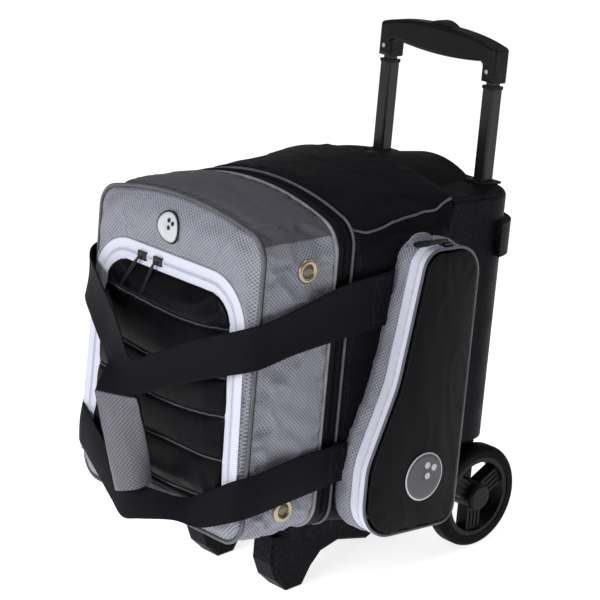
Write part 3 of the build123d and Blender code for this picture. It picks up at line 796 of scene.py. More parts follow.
def lid_front():
    """The grey front face round the flap, from the piping in to the zipper."""
    count, rows = 520, 14
    inner_line = flap_line(12.0, 4000, 42.0)
    inner_line = np.concatenate([inner_line, along([inner_line[-1], inner_line[0]], count=800)[1:-1]])
    hub = np.array([0.0, 185.0])
    turn = np.unwrap(np.arctan2(inner_line[:, 1] - hub[1], inner_line[:, 0] - hub[0]))
    if turn[-1] < turn[0]:
        turn, inner_line = turn[::-1], inner_line[::-1]
    span = np.linalg.norm(inner_line - hub, axis=1)
    outer = outline(grown(FRONT, -0.8), count)
    angle = np.arctan2(outer[:, 1] - hub[1], outer[:, 0] - hub[0])
    angle = (angle - turn[0]) % (2 * math.pi) + turn[0]
    reach = np.interp(angle, turn, span, period=2 * math.pi)
    inner = hub + np.stack([np.cos(angle), np.sin(angle)], 1) * reach[:, None]
    out = []
    for f in np.linspace(0, 1, rows):
        flat = outer + (inner - outer) * f
        gap = np.linalg.norm(inner - outer, axis=1)
        bow = 10.0 * np.sin(f * math.pi / 2) + 2.5 * np.sin(f * math.pi) * np.minimum(1, gap / 40)
        out.append(standing(flat, -384.5 - bow))
    face = grid("lid_front_panel", out, "lid", "ripstop_grey", closed=True, replaces=["lid_front_frame"])
    layer = face.data.uv_layers["metres"].data
    for loop_data, spot in zip(face.data.loops, layer):
        p = TO_BAG @ face.data.vertices[loop_data.vertex_index].co
        spot.uv = (p.x / 1000, p.z / 1000)
    pins = rim_pins(count, rows)
    simulate(face, 2.0, 0.03, 4.0, pins, THIN)

    def crease(p, n):
        keep = min(1, max(0, (p.z - 296) / 30)) if p.z > 200 else 0.4
        edge = min(1, max(0, FRONT[0] - p.y) / 5)
        return fabric_folds(p, n, 0.9 * keep * edge, 30, 5.5, (0.5, 1, 1.2))

    move_points(face, crease)
    thicken(face, 2.2)
    return face


def piping(name, path, body, closed=True, replaces=(), radius=2.1, look_of="piping_grey"):
    """Round corded piping along a seam."""
    return tube(name, along(path, 5.0, closed=closed), radius, body, look_of, closed=closed, sides=10,
                slot="piping_grey", replaces=replaces)


def tooth_row(path, normal):
    """Spots for one row of zipper teeth along a flat path."""
    line = along(path, 2.0)
    ahead = np.gradient(line, axis=0)
    ahead /= np.linalg.norm(ahead, axis=1)[:, None]
    spots = []
    for p, a in zip(line, ahead):
        side = np.cross(a, normal)
        side /= np.linalg.norm(side)
        spots.append((p + normal * 0.4, a, side, normal))
    return spots


def flap_zipper():
    """The white zipper round the flap: outer half on the lid, inner half on the flap."""
    for half, body, node, steps in (("lid", "lid", "flap_zip_tape_lid", np.linspace(13.0, 0.4, 9)),
                                    ("flap", "shoe_flap_panel", "flap_zip_tape_flap",
                                     np.linspace(-0.4, -12.0, 8))):
        rows = []
        for grow in steps:
            flat = flap_line(grow, 260)
            lift = 1.3 * math.exp(-(grow / 3.4) ** 2)
            rows.append(standing(flat, -395.2 - lift))
        tape = grid("shoe_zipper_tape_" + half, rows, body, "zip_white", replaces=[node])
        thicken(tape, 0.8)
        line = flap_line(1.15 if half == "lid" else -1.15, 400)
        spots = tooth_row(standing(line, -396.6), np.array([0, -1.0, 0]))
        cells("shoe_zipper_teeth_" + half, spots, (1.35, 2.3, 1.5), body, "zip_white", slot="zip_white")


FLAP_SEAMS = (255, 199, 155, 108, 60)


def seam_height(seam, x):
    """Height of a quilting seam, which sags a little towards the middle."""
    return seam - 5.0 * (1 - (x / 118.0) ** 2) + 2.0 * math.sin(x / 37.0 + seam)


def flap_panel():
    """The quilted black flap: padded channels between sewn seams."""
    rim = flap_line(-10.0, 300, 43.0)
    hub = np.array([0.0, 165.0])
    base = along([rim[-1], rim[0]], count=120)[1:-1]
    edge = np.concatenate([rim, base])
    layers = []
    for depth, shrink in ((-392.6, 1.0), (-396.5, 1.0), (-399.2, 0.975), (-400.2, 0.93), (-400.8, 0.6),
                          (-401, 0.02)):
        flat = hub + (edge - hub) * shrink
        layers.append(standing(flat, depth))
    layers.insert(0, standing(hub + (edge - hub) * 0.02, -392.4))
    pad = closed_pad("shoe_flap_pad", layers, "shoe_flap_panel", "shoe_flap", 3.6)
    pins = [(v.index, 1.0 if (TO_BAG @ v.co).y > -396 else 0.0) for v in pad.data.vertices]
    simulate(pad, 1.4, 0.0, 2.5, pins, PAD)
    smoothed(pad)

    def quilt(p, n):
        if p.y > -396.2:
            return None
        gap = min(abs(p.z - seam_height(s, p.x)) for s in FLAP_SEAMS)
        near = min(FLAP_SEAMS, key=lambda s: abs(p.z - seam_height(s, p.x)))
        ends = min(1, max(0, (119 - abs(p.x)) / 8))
        groove = math.exp(-(gap / 3.0) ** 2)
        lift = 2.0 * (1 - math.exp(-(gap / 10.0) ** 2))
        pucker = math.exp(-(gap / 11) ** 2) * (1 - groove)
        fold = noise.noise(Vector((p.x / 9.0 + 0.2 * p.z / 9.0, near * 0.37, p.z / 60)))
        cross = wrinkle(p, 48, (0.6, 1, 1.4), 2.2)
        out = lift - 2.4 * groove + 0.45 * pucker * fold + 0.35 * cross
        return Vector((0, -1, 0)) * out * ends

    move_points(pad, quilt)
    tree = tree_of(pad)
    rows = []
    for seam in FLAP_SEAMS:
        for side in (-2.2, 2.2):
            rows.append([(x, FACE, seam_height(seam, x) + side) for x in np.linspace(-114, 114, 60)])
    stitches("shoe_flap_stitches", tree, rows, AFT, "shoe_flap_panel", "thread_black", "vinyl_black")
    # Thin ridges along the seams, in the lighter vinyl: painted highlight on the folded seam edges.
    for n, seam in enumerate(FLAP_SEAMS):
        path = [(x, FACE, seam_height(seam, x) - 0.4) for x in np.linspace(-113, 113, 90)]
        line = [p for p, _ in laid(tree, path, AFT, 0.9)]
        tube(f"shoe_flap_seam_{n}", line, 1.05, "shoe_flap_panel", "vinyl_edge", sides=8, slot="vinyl_black")


def ball_motif(name, tree, way, centre, across_way, up_way, radius, body, slot, looks):
    """A generic embroidered bowling ball: a bordered disc with three finger holes."""
    centre, across_way, up_way = (np.array(v, float) for v in (centre, across_way, up_way))
    aim = np.array(way, float)
    turn = full_turn(48)
    spread = [centre + radius * f * (across_way * math.cos(a) + up_way * math.sin(a))
              for f in np.linspace(0.1, 1.1, 6) for a in turn]
    hits = np.array([p for p, _ in laid(tree, spread, way, 0.0)]) - centre

    def terms(a, b):
        return np.stack([np.ones_like(a), a, b, a * a, a * b, b * b], -1)

    flat = terms(hits @ across_way, hits @ up_way)
    depth = hits @ aim
    fit = np.linalg.lstsq(flat, depth, rcond=None)[0]
    fit[0] -= 0.8 * max(0.0, float((flat @ fit - depth).max()))
    discs = [(looks[0], 0, 0, radius + 2.0, 0.45), (looks[1], 0, 0, radius, 1.0)]
    discs += [(looks[0], radius * a, radius * b, radius * 0.15, 1.5)
              for a, b in ((0.1, 0.5), (0.5, 0.35), (0.15, 0.02))]
    for part, (look_of, over, high, reach, lift) in enumerate(discs):
        rows = []
        for f in np.linspace(0.01, 1, 7):
            a, b = over + reach * f * np.cos(turn), high + reach * f * np.sin(turn)
            down = terms(a, b) @ fit - lift
            rows.append(centre + a[:, None] * across_way + b[:, None] * up_way + down[:, None] * aim)
        sheet = grid(f"{name}_{part}", rows, body, look_of, closed=True, slot=slot)
        thicken(sheet, 0.5)


def eyelets():
    """Ringed mesh vents in the sides of the shoe compartment."""
    profile = [(8.0, -0.4), (8.2, 1.4), (9.3, 2.3), (11.0, 2.6), (12.6, 2.0), (13.5, 0.8), (13.6, -0.6)]
    turn = full_turn(48)
    first = True
    for side, sign in (("right", 1), ("left", -1)):
        for level, (y, z) in VENTS.items():
            f = (y - FRONT[0]) / (LID_REAR[0] - FRONT[0])
            x = FRONT[1] + (LID_REAR[1] - FRONT[1]) * f + 0.9
            rows = []
            for r, h in profile:
                rows.append(np.stack([np.full(48, sign * (x + h)), y + r * np.cos(turn),
                                      z + r * np.sin(turn)], 1))
            ring = grid(f"vent_ring_{level}_{side}", rows, "lid", "eyelet_metal", closed=True, flip=sign < 0,
                        replaces=["vent_eyelets"] if first else [])
            thicken(ring, 0.4)
            first = False
            points = []
            for k in np.arange(-7, 7.1, 1.4):
                reach = math.sqrt(max(0, 8.2**2 - k * k))
                points.append([(sign * (x + 0.5), y - reach, z + k), (sign * (x + 0.5), y + reach, z + k)])
                points.append([(sign * (x + 0.7), y + k, z - reach), (sign * (x + 0.7), y + k, z + reach)])
            wires = [tube(f"wire_{n}", along(w, count=3), 0.3, "lid", "eyelet_metal", sides=5)
                     for n, w in enumerate(points)]
            merged(wires, f"vent_mesh_{level}_{side}")


def merged(objects, name):
    """Joins pieces into the first one, under a new name."""
    bpy.context.view_layer.update()
    with bpy.context.temp_override(active_object=objects[0], selected_editable_objects=objects):
        bpy.ops.object.join()
    objects[0].name = name
    objects[0].data.name = name
    return objects[0]


def lid_back():
    """The padded partition that closes the back of the shoe compartment."""
    count, rows = 200, 12
    rim = outline(grown(LID_REAR, -4.8), count)
    hub = np.array([0, 190.0])
    out = []
    for f in np.linspace(1, 0.02, rows):
        flat = hub + (rim - hub) * f
        out.append(standing(flat, -277.6 - 1.5 * (1 - f**4)))
    panel = grid("lid_partition", out, "lid", "lining", closed=True, flip=True, replaces=["lid_back_panel"])
    close = bmesh.new()
    close.from_mesh(panel.data)
    bmesh.ops.holes_fill(close, edges=[e for e in close.edges if e.is_boundary and e.calc_length() < 0.001],
                         sides=0)
    close.to_mesh(panel.data)
    close.free()
    move_points(panel, lambda p, n: (0, 0.8 * wrinkle(p, 40, (1, 1, 1), 4.4), 0))
    thicken(panel, 2.4)


wall = lid_walls()
face = lid_front()
flap_zipper()
flap_panel()
lid_back()
eyelets()
piping("lid_piping_front", loop(grown(FRONT, 1.0), 300, -385.2), "lid", replaces=["lid_front_piping"],
       look_of="piping_dark", radius=2.1)
# A thin black line on the side walls beside the front piping: its stitch line, and painted shadow in the
# seam's crease.
piping("lid_stitch_and_shadow_line_side", loop(grown(FRONT, 0.5), 300, -381.6), "lid", look_of="thread_black", radius=0.8)
piping("lid_piping_rear", loop(grown(LID_REAR, 1.0), 300, -280), "lid", replaces=["lid_rear_piping"])

wall_tree, face_tree = tree_of(wall), tree_of(face)
side_stitches("lid_stitches", wall_tree, (-378, -374.5, -289, -285.5), np.linspace(40, 335, 80), "lid",
              "thread_grey", "ripstop_grey")
top_rows = [[(x, y, 400) for x in np.linspace(-112, 112, 70)] for y in (-376, -287)]
stitches("lid_stitches_top", wall_tree, top_rows, DOWN, "lid", "thread_black", "ripstop_grey")
frame_rows = []
for grow in (13.5, 16.5):
    frame_rows.append(standing(flap_line(grow, 300, 60), FACE))
stitches("lid_stitches_front", face_tree, frame_rows, AFT, "lid", "thread_grey", "ripstop_grey")
ball_motif("lid_motif", face_tree, AFT, (-4, FACE, 343), RIGHT, UP, 17, "lid", "ripstop_grey",
           ("motif_black", "motif_white"))

# ---------------------------------------------------------------- main zipper

HINGE_TOP = 30.0     # height of the cloth hinge, where the long zipper's teeth stop
PARTING = -265       # depth at which the long zipper's two halves meet


def main_zipper():
    """The long black zipper between the shoe compartment and the ball compartment."""
    for half, body, node, depths in (("lid", "lid", "lid_zip_tape", np.linspace(-278, -265.4, 6)),
                                     ("body", "bag_body", "body_zip_tape", np.linspace(-264.6, -252, 6))):
        rows = []
        for y in depths:
            bulge = 1.6 * math.exp(-((y - PARTING) / 3.5) ** 2)
            rows.append(loop(grown(BODY_FRONT, -0.2 + bulge), 320, y))
        tape = grid("main_zipper_tape_" + half, rows, body, "zip_black", closed=True, flip=True,
                    replaces=[node])
        thicken(tape, 1.6)
        y = -266.1 if half == "lid" else -263.9
        ring = loop(grown(BODY_FRONT, 1.8), 900, y)
        ring = np.concatenate([ring, ring[:1]])
        out = ring_normals(ring[:-1])
        out = np.concatenate([out, out[:1]])
        spots = []
        for k in range(0, 900, 2):
            if ring[k][2] < HINGE_TOP:
                continue
            ahead = ring[k + 1] - ring[k]
            ahead /= np.linalg.norm(ahead)
            spots.append((ring[k], ahead, np.array([0, 1.0, 0]), out[k]))
        cells("main_zipper_teeth_" + half, spots, (1.5, 2.0, 1.2), body, "zip_black", slot="zip_black")


main_zipper()

# ---------------------------------------------------------------- ball compartment

def body_walls():
    """The black nylon wall round the ball compartment."""
    count, rows = 420, 46
    front, rear = grown(BODY_FRONT, -0.8), grown(BODY_REAR, -0.2)
    front[0] = BODY_START
    panels = ["body_top_panel", "body_floor_panel", "body_side_panel_right", "body_side_panel_left"]
    shell = grid("body_wall", loft(front, rear, count, rows, 0.8), "bag_body", "nylon_black", closed=True,
                 flip=True, replaces=panels)
    pins = rim_pins(count, rows)
    for v in shell.data.vertices:
        p = TO_BAG @ v.co
        if p.z < 30 and count <= v.index < count * (rows - 1):
            pins.append((v.index, 0.9))
    simulate(shell, 1.2, 0.03, 4.0, pins, THIN)

    def crease(p, n):
        keep = fade(p.y, BODY_START, 18) * fade(p.y, BODY_END, 18) * (1 if p.z > 30 else 0.2)
        slant = Vector((p.x, p.y + 0.35 * p.z, p.z - 0.5 * p.y))
        return fabric_folds(slant, n, 1.3 * keep, 44, 12.5, (0.8, 0.8, 1.1))

    move_points(shell, crease)
    thicken(shell, 3.0)
    return shell


body_wall = body_walls()
body_tree = tree_of(body_wall)
piping("body_piping_front", loop(grown(BODY_FRONT, 1.6), 300, -253.5), "bag_body", replaces=["body_piping"],
       look_of="piping_dark", radius=1.7)
for side, sign in (("right", 1), ("left", -1)):
    edge = laid(body_tree, [(sign * 133.5, y, 420) for y in np.linspace(-250, -98, 40)], DOWN, 1.4, 80)
    piping(f"body_piping_top_{side}", [p for p, _ in edge], "bag_body", closed=False, radius=1.5,
           look_of="piping_dark")
top_rows = [[(x, y, 450) for x in np.linspace(-120, 120, 70)] for y in (-246, -243, -103)]
stitches("body_stitches_top", body_tree, top_rows, DOWN, "bag_body", "thread_black", "nylon_black")
side_stitches("body_stitches", body_tree, (-246, -243, -103), np.linspace(30, 350, 90), "bag_body",
              "thread_black", "nylon_black")


def foam_cup():
    """The foam ring that cradles the ball."""
    middle, low, high = -147, 16.7, 42.4
    profile = [(78, low), (78.3, low + 8), (77.6, high - 6), (74, high - 1), (66, high), (58, high - 1.5),
               (54.4, high - 7), (54, low + 6), (54, low)]
    turn = full_turn(96)
    rows = []
    for r, z in profile:
        rows.append(np.stack([r * np.cos(turn), middle + r * np.sin(turn), np.full(96, z)], 1))
    rows.append(rows[0])
    cup = grid("ball_cup_foam", rows, "bag_body", "foam", closed=True, replaces=["ball_cup"])
    smoothed(mended(cup, weld=True))


foam_cup()

# ---------------------------------------------------------------- side pocket

POCKET_CORNERS = ((-98, 339, 35), (-181, 339, 24), (-207, 185, 150), (-243, 92, 70), (-243, 6, 45),
                  (-98, 6, 20))


def pocket_line(count, inset=0.0):
    """The pocket's outline in Y and Z, evenly spaced from the middle of its floor towards the front."""
    corners = np.array([c[:2] for c in POCKET_CORNERS], float)
    points = []
    order = list(range(len(corners)))[::-1]
    for n, k in enumerate(order):
        p, before, after = corners[k], corners[order[n - 1]], corners[order[(n + 1) % len(order)]]
        a, b = (before - p) / np.linalg.norm(before - p), (after - p) / np.linalg.norm(after - p)
        half = math.acos(np.dot(a, b)) / 2
        radius = POCKET_CORNERS[k][2]
        centre = p + (a + b) / np.linalg.norm(a + b) * (radius / math.sin(half))
        one, two = p + a * radius / math.tan(half), p + b * radius / math.tan(half)
        start = math.atan2(*(one - centre)[::-1])
        end = math.atan2(*(two - centre)[::-1])
        sweep = (end - start + math.pi) % (2 * math.pi) - math.pi
        hollow = sweep > 0
        points.append(arc(centre, radius + inset if hollow else radius - inset, start, start + sweep, 20))
    ring = np.concatenate(points)
    ring = np.concatenate([[(-170, ring[19][1])], ring[20:], ring[:20]])
    return along(ring, count=count, closed=True)


POCKET_BASE, POCKET_LIP = 139.5, 165      # where the pocket's grey wall starts and ends, along X
POCKET_SPLIT = 178.3                      # where the two halves of its zipper meet


def pocket_ring(x, count, inset=0.0):
    """The pocket's outline at one distance from the bag's mid-plane."""
    return sideways(pocket_line(count, inset), x)


def pocket_out(ring):
    """Outward normals of a pocket ring."""
    ahead = np.roll(ring, -1, 0) - np.roll(ring, 1, 0)
    out = np.stack([np.zeros(len(ring)), -ahead[:, 2], ahead[:, 1]], 1)
    out /= np.linalg.norm(out, axis=1)[:, None]
    middle = ring.mean(0)
    if np.dot(out[0], ring[0] - middle) < 0:
        out = -out
    return out


def pocket_side():
    """The grey wall that the pocket stands out on."""
    count = 360
    rows = []
    for x in np.linspace(POCKET_BASE, POCKET_LIP, 11):
        ring = pocket_ring(x, count)
        swell = 1.6 * math.sin(math.pi * (x - POCKET_BASE) / (POCKET_LIP - POCKET_BASE))
        rows.append(ring + pocket_out(ring) * (swell - 0.4))
    side = grid("pocket_wall", rows, "bag_body", "ripstop_grey", closed=True, replaces=["pocket_gusset"])
    simulate(side, 1.5, 0.03, 3.0, rim_pins(count, len(rows)), THIN)

    def crease(p, n):
        keep = fade(p.x, POCKET_BASE, 8) * fade(p.x, POCKET_LIP, 8)
        return fabric_folds(p, n, 1.2 * keep, 30, 21.0, (0.7, 1, 0.9))

    move_points(side, crease)
    thicken(side, 2.0)


def zipped(p):
    """True where the pocket's wall is zipped rather than sewn."""
    return p[1] < -134 if p[2] > 100 else p[1] < -150


def pocket_zipper():
    """The pocket's white zipper, and the sewn strip at its hinge side."""
    ring = pocket_ring(0, 720)
    out = pocket_out(ring)
    shut = np.array([zipped(p) for p in ring])
    start = int(np.argmax(shut & ~np.roll(shut, 1)))
    order = [(start + k) % 720 for k in range(720)]
    run = [k for k in order if shut[k]]
    sewn = [k for k in order if not shut[k]]
    for half, body, node, xs in (("wall", "bag_body", "pocket_zip_tape_wall",
                                  np.linspace(POCKET_LIP, 178.1, 8)),
                                 ("cover", "pocket_door", "pocket_zip_tape_cover",
                                  np.linspace(178.5, 186, 5))):
        rows = []
        for x in xs:
            lift = 1.1 * math.exp(-((x - POCKET_SPLIT) / 3.2) ** 2) - 0.2
            rows.append(ring[run] + out[run] * lift + [x, 0, 0])
        tape = grid("pocket_zipper_tape_" + half, rows, body, "zip_white", replaces=[node])
        thicken(tape, 0.8)
        x = 177.2 if half == "wall" else 179.4
        spots = []
        line = along(ring[run], 2.0)
        ahead = np.gradient(line, axis=0)
        for p, a in zip(line, ahead):
            a = a / np.linalg.norm(a)
            normal = np.cross(a, [1.0, 0, 0])
            normal = normal if np.dot(normal, p - ring.mean(0)) > 0 else -normal
            spots.append((p + normal * 1.1 + [x, 0, 0], a, np.array([1.0, 0, 0]), normal))
        cells("pocket_zipper_teeth_" + half, spots, (1.35, 2.3, 1.3), body, "zip_white", slot="zip_white")
    rows = [ring[sewn] + out[sewn] * -0.3 + [x, 0, 0] for x in np.linspace(164.5, 186.4, 10)]
    hinge = grid("pocket_hinge_cloth", rows, "bag_body", "ripstop_grey")
    thicken(hinge, 1.6)


def pocket_face():
    """The glossy padded face of the pocket."""
    count = 300
    edge = pocket_line(count, 1.6)
    hub = np.array([-165.0, 160.0])
    layers = []
    for x, shrink in ((186.4, 0.02), (186.3, 1.0), (188.6, 1.0), (190.0, 0.985), (190.6, 0.94), (191.0, 0.6),
                      (191.2, 0.02)):
        layers.append(sideways(hub + (edge - hub) * shrink, x))
    pad = closed_pad("pocket_face_pad", layers, "pocket_door", "pocket_cover", 3.4)
    pins = [(v.index, 1.0 if (TO_BAG @ v.co).x < 188.5 else 0.0) for v in pad.data.vertices]
    simulate(pad, 1.6, 0.0, 2.5, pins, PAD)
    smoothed(pad)

    def crease(p, n):
        if p.x < 188.8:
            return None
        slant = Vector((p.x, p.y + 0.18 * p.z, p.z))
        long = wrinkle(slant, 46, (1, 1.5, 0.42), 31.0)
        ridge = 1 - min(1, abs(wrinkle(slant, 60, (1, 1.4, 0.4), 36.0)) * 3.4)
        return Vector((1, 0, 0)) * (0.5 * long + 0.35 * ridge * ridge)

    move_points(pad, crease)
    return pad


pocket_side()
pocket_zipper()
pocket_pad = pocket_face()
piping("pocket_edge_piping", pocket_ring(187.6, 300, -0.4), "pocket_door", replaces=["pocket_piping"],
       radius=1.7, look_of="piping_dark")
piping("pocket_base_piping", pocket_ring(142.0, 300, -1.2), "bag_body", radius=1.4, look_of="piping_dark")
pad_tree = tree_of(pocket_pad)
stitches("pocket_face_stitches", pad_tree, [pocket_ring(200, 300, 5.5)], LEFT, "pocket_door", "thread_black",
         "vinyl_black")
ball_motif("pocket_motif", pad_tree, LEFT, (200, -158, 72), AFT, UP, 27, "pocket_door", "vinyl_black",
           ("motif_white", "motif_grey"))

# ---------------------------------------------------------------- webbing handles

def band(name, stations, body, sag, node):
    """Webbing through stations of upper and lower edge points, with rolled edges."""
    thick, count, lanes = 1.9, 220, 13
    smooth = eased(stations, count)
    top, low = smooth[:, :3], smooth[:, 3:]
    rows = np.array([top + (low - top) * f for f in np.linspace(0, 1, lanes)])
    ahead = np.gradient(rows.mean(0), axis=0)
    out = np.cross(low - top, ahead)
    out /= np.linalg.norm(out, axis=1)[:, None]
    for k in range(lanes):
        f = k / (lanes - 1)
        rows[k] += out * (sag * math.sin(math.pi * f))
    obj = grid(name, rows, body, "webbing_black", replaces=[node])
    thicken(obj, thick)
    bevel = obj.modifiers.new("bevel", "BEVEL")
    bevel.width = 0.0006
    bevel.segments = 2
    bevel.limit_method = "ANGLE"
    bevel.angle_limit = math.radians(50)
    applied(obj)
    for f in obj.data.polygons:
        f.use_smooth = True
    return obj


# The webbing loops' stations from left to right: X, Y, Z of the upper edge, then of the lower edge.
UPPER = [
    (-149.5, -193, 312, -149.5, -193, 249), (-150.5, -208, 310, -150.5, -208, 247),
    (-152, -276, 304, -152, -276, 245), (-152.5, -333, 298, -152.5, -333, 243),
    (-151, -377, 290, -151, -379, 237), (-139, -399, 281, -140, -401, 229),
    (-101, -417, 268, -104, -419, 216), (-57, -431, 247, -60, -435, 195), (-24, -442, 229, -27, -447, 179),
    (6, -447, 201, 4, -449, 165), (34, -443, 213, 32, -446, 167), (79, -427, 238, 77, -429, 189),
    (122, -409, 257, 121, -411, 207), (149, -385, 271, 149, -387, 219), (153, -338, 284, 153, -338, 231),
    (152, -276, 301, 151, -276, 238), (150.5, -208, 309, 150.5, -208, 246),
    (149.5, -193, 312, 149.5, -193, 249),
]
LOWER = [
    (-149.5, -243, 115, -149.5, -243, 69), (-150, -261, 113, -150, -261, 67),
    (-151, -314, 110, -151, -314, 62), (-149.5, -364, 105, -149.5, -366, 58),
    (-141, -393, 100, -142, -394, 54), (-107, -406, 90, -109, -408, 46), (-62, -418, 74, -64, -422, 33),
    (-26, -427, 60, -29, -431, 20), (2, -432, 54, -1, -436, 9), (28, -426, 52, 30, -436, 17),
    (72, -413, 52, 76, -428, 29), (104, -409, 68, 108, -416, 29), (138, -399, 90, 141, -402, 43),
    (150, -377, 98, 150, -379, 49), (152, -340, 106, 152, -340, 56), (152, -314, 110, 152, -314, 60),
    (150, -261, 113, 150, -261, 67), (149.5, -243, 115, 149.5, -243, 69),
]


def handles():
    """The two webbing loops with their boxed stitching, and the sewn tabs that hold their ends."""
    upper = band("upper_webbing", UPPER, "upper_handle", -2.0, "upper_strap")
    lower = band("lower_webbing", LOWER, "lower_handle", 1.5, "lower_strap")
    trees = {"upper": tree_of(upper), "lower": tree_of(lower)}
    made = {"upper": [], "lower": []}
    boxes = {"upper": ((-200, 305, 254), (-222, 302, 251)), "lower": ((-249, 108, 73), (-268, 107, 71))}
    for name, (back, front) in boxes.items():
        for side, sign in (("right", 1), ("left", -1)):
            x = 200 * sign
            ends = [(x, back[0], back[1]), (x, front[0], front[1]), (x, front[0], front[2]),
                    (x, back[0], back[2])]
            paths = [[*ends, ends[0]], [ends[0], ends[2]], [ends[1], ends[3]]]
            made[name].append(stitches(f"{name}_strap_stitches_{side}", trees[name], paths, (-sign, 0, 0),
                                       f"{name}_handle", "thread_black", "webbing_black", 3.2,
                                       (2.3, 0.8, 0.7)))
    for name, anchor in (("upper", (0, -205, 278)), ("lower", (0, -240, 92))):
        for obj in [upper if name == "upper" else lower, *made[name]]:
            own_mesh(obj)
    for side, sign in (("right", 1), ("left", -1)):
        for level, y, z, tall in (("upper", -206, 277, 50), ("lower", -250, 91, 44)):
            rows = []
            for f in np.linspace(-1, 1, 9):
                edge = 1 - abs(f) ** 8 * 0.3
                rows.append([(sign * (141.5 + 6.6 * edge), y + dy, z + f * tall / 2 - dy * 0.25)
                             for dy in np.linspace(13, -9, 9)])
            tab = grid(f"{level}_strap_tab_cloth_{side}", rows, "bag_body", "webbing_black", flip=sign > 0,
                       replaces=[f"{level}_strap_tabs"] if sign > 0 else [])
            thicken(tab, 5.0)


handles()


def hand_wrap():
    """The ripstop hand wrap that hangs open from the upper handle, curling in towards its hem."""
    count, width = 40, 50.0

    def place(f, g):
        """A point from the wrap's top at f 0 to its hem at f 1, and from its left edge to its right."""
        facing = math.radians(28 + 17 * f)
        curl = math.radians(14 + 145 * f)
        swing = curl / 2 * g
        side = width / curl * math.sin(swing)
        bulge = width / curl * (math.cos(swing) - math.cos(curl / 2))
        x = -8 + 20 * f + side * math.cos(facing) + bulge * math.sin(facing)
        y = -453 + 17 * f + side * math.sin(facing) - bulge * math.cos(facing)
        return x, y, 156 - 104 * f + 6 * g * f

    rows = [[place(f, g) for g in np.linspace(-1, 1, count)] for f in np.linspace(0, 1, 34)]
    # The wrap's cloth takes the darker copy of the grey ripstop: painted shade.
    wrap = grid("hand_wrap_cloth", rows, "handle_cuff", "ripstop_wrap", slot="ripstop_grey",
                replaces=["handle_wrap"])
    simulate(wrap, 0.5, 0.02, 2.0, [(i, 1.0) for i in range(count * 2)], WRAP)
    move_points(wrap, lambda p, n: fabric_folds(p, n, 0.8, 26, 41.0, (0.8, 1, 0.7)))
    edge = [TO_BAG @ wrap.data.vertices[r * count + c].co
            for c, order in ((0, range(34)), (count - 1, range(33, -1, -1))) for r in order]
    tree = tree_of(wrap)
    thicken(wrap, 2.0)
    band_rows = []
    for f in np.linspace(0, 1, 12):
        ease = f * f * (3 - 2 * f)
        row_points = []
        for k, g in enumerate(np.linspace(-1, 1, count)):
            top = np.array([-13 + 21 * g, -438 - 1.5 * g, 190 - 7 * g])
            row_points.append(np.array(rows[0][k]) * (1 - ease) + top * ease
                              + [0, -2.0 * math.sin(math.pi * f), 0])
        band_rows.append(row_points)
    band_cloth = grid("hand_wrap_band", band_rows, "handle_cuff", "nylon_black", slot="webbing_black",
                      flip=True)
    thicken(band_cloth, 1.6)
    inset = [[place(f, g) for f in np.linspace(0.03, 0.96, 30)] for g in (-0.88, 0.88)]
    inset.append([place(0.96, g) for g in np.linspace(-0.88, 0.88, 20)])
    seams = stitches("hand_wrap_stitches", tree, inset, (-0.6, 0.8, 0), "handle_cuff", "thread_grey",
                     "ripstop_grey")
    hem = tube("hand_wrap_hem", along(edge, 4), 1.9, "handle_cuff", "webbing_black", slot="webbing_black")
    for obj in (wrap, band_cloth, seams, hem):
        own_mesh(obj)


hand_wrap()

# ---------------------------------------------------------------- zipper pulls

def cord_pull(name, start, stretch, spread, body, node, bulk=1.0):
    """A loop of cord with a moulded end, hung from a slider."""
    start, stretch, spread = (np.array(v, float) for v in (start, stretch, spread))
    length = np.linalg.norm(stretch)
    way = stretch / length
    side = spread / np.linalg.norm(spread)
    path = []
    for hand, shares in ((1, np.linspace(0, 1, 14)), (-1, np.linspace(1, 0, 14))):
        for f in shares:
            apart = hand * 1.5 * bulk * math.sin(math.pi * min(1, f * 1.15))
            path.append(start + way * length * f + side * apart)
    tube(name + "_cord", along(path, 1.5), 1.05 * bulk, body, "pull_cord", sides=8, slot="pull_cord",
         replaces=[node])
    rows = []
    up = np.cross(way, side)
    for f, wide, deep in ((0.55, 0.4, 0.3), (0.56, 2.2, 1.4), (0.62, 2.7, 1.7), (0.8, 2.5, 1.6),
                          (0.97, 2.9, 1.8), (1.03, 2.2, 1.3), (1.05, 0.4, 0.3)):
        centre = start + way * length * f
        rows.append([centre + (side * wide * math.cos(a) + up * deep * math.sin(a)) * bulk
                     for a in full_turn(20)])
    end = grid(name + "_end", rows, body, "handle_plastic", closed=True, slot="pull_cord")
    smoothed(mended(end, fill=0))


cord_pull("shoe_pull_left", (-47, -402.8, 300), (-26, -1.0, -38), (0.8, 0, -0.5), "pull_left",
          "shoe_pull_left")
cord_pull("shoe_pull_right", (-19, -402.8, 300), (-19, -1.0, -42), (0.9, 0, -0.4), "pull_right",
          "shoe_pull_right")
cord_pull("pocket_pull", (178.5, -144, 346), (2.5, -50, 0.5), (1, 0, 0), "pull_pocket", "pocket_pull", 2.1)
cord_pull("main_pull", (-147.6, -265, 175), (0, 0, -38), (0, 1, 0), "pull_main", "main_pull")


def pocket_tab():
    """A folded finger tab at the top of the pocket's zipper."""
    rows = []
    for a in np.linspace(0.02, math.pi - 0.02, 24):
        y, tall = -170 + 19 * math.cos(a), 15.5 * math.sin(a) ** 0.7
        rows.append([(163 + 0.8 * math.sin(2 * f), y, 338.6 + tall * f) for f in np.linspace(0, 1, 8)])
    tab = grid("pocket_tab", rows, "bag_body", "ripstop_grey")
    thicken(tab, 2.2)


pocket_tab()

# ---------------------------------------------------------------- moulded and metal parts

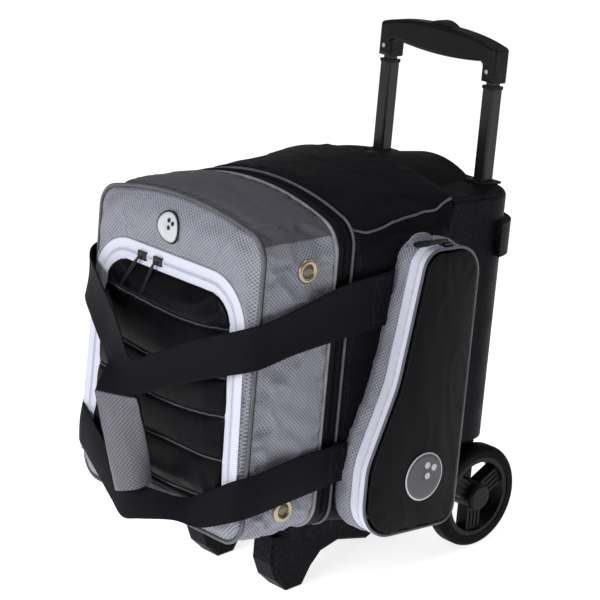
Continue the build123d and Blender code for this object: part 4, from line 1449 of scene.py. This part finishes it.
paint("shell_plastic", "back_shell", "back_bumper", "base_tray", "skid_foot_right", "skid_foot_left")
paint("lining", "back_liner")
paint("board", "base_board")
paint("handle_plastic", "handle_sockets", "tube_clamps", "mid_collars", "grip", "release_button")
paint("steel", "axle", "axle_brackets", "grip_screws")
paint("aluminium_tube", "outer_tubes")
paint("tube_black", "mid_tubes", "inner_tubes")
paint("wheel_plastic", "wheel_hub_right", "wheel_hub_left", "hub_cap_right", "hub_cap_left")
paint("tyre_rubber", "tyre_right", "tyre_left")
paint("slider_metal", "shoe_slider_left", "shoe_slider_right", "pocket_slider", "main_slider")

# ---------------------------------------------------------------- studio

AMBIENT = 0.19
FLOOR_GLOW = 0.80
# Square lamps: name, place in metres, width in metres and power in watts.
LIGHTS = (
    ("key", (0.02, -2.8, 1.5), 0.7, 38),
    ("strip", (0.9, -2.6, 1.2), 0.6, 12),
    ("fill", (2.4, -1.2, 1.0), 1.6, 3),
    ("top", (-0.2, 0.2, 2.6), 1.4, 11),
    ("rim", (0.6, 2.2, 1.8), 1.2, 8),
)


def studio():
    """A plain pale floor with soft light from square lamps."""
    world = bpy.data.worlds.new("studio")
    world.use_nodes = True
    SCENE.world = world
    background = world.node_tree.nodes["Background"].inputs
    background["Color"].default_value = (1, 1, 1, 1)
    background["Strength"].default_value = AMBIENT
    mesh = bpy.data.meshes.new("floor")
    wide = 14.0
    mesh.from_pydata([(-wide, -wide, 0), (wide, -wide, 0), (wide, wide, 0), (-wide, wide, 0)], [],
                     [(0, 1, 2, 3)])
    floor = bpy.data.objects.new("floor", mesh)
    shader = Shader("floor", (0.9, 0.9, 0.9), 0.9, Specular_IOR_Level=0.1)
    shader.set("Base Color", shader.mix(shader.ramp(shader.noise(shader.place(), 0.5), 0.3, 0.7),
                                        (0.90, 0.90, 0.90), (0.92, 0.92, 0.92)))
    shader.set("Emission Color", (1, 1, 1, 1))
    shader.set("Emission Strength", FLOOR_GLOW)
    mesh.materials.append(shader.material)
    SCENE.collection.objects.link(floor)
    aim = Vector((0, 0, 0.25))
    for name, place, size, power in LIGHTS:
        data = bpy.data.lights.new(name, "AREA")
        data.size = size
        data.energy = power
        lamp = bpy.data.objects.new(name, data)
        lamp.location = place
        lamp.rotation_mode = "QUATERNION"
        lamp.rotation_quaternion = (aim - Vector(place)).to_track_quat("-Z", "Y")
        SCENE.collection.objects.link(lamp)
    SCENE.view_settings.view_transform = "Standard"
    SCENE.view_settings.look = "None"
    SCENE.view_settings.exposure = 0.0


studio()
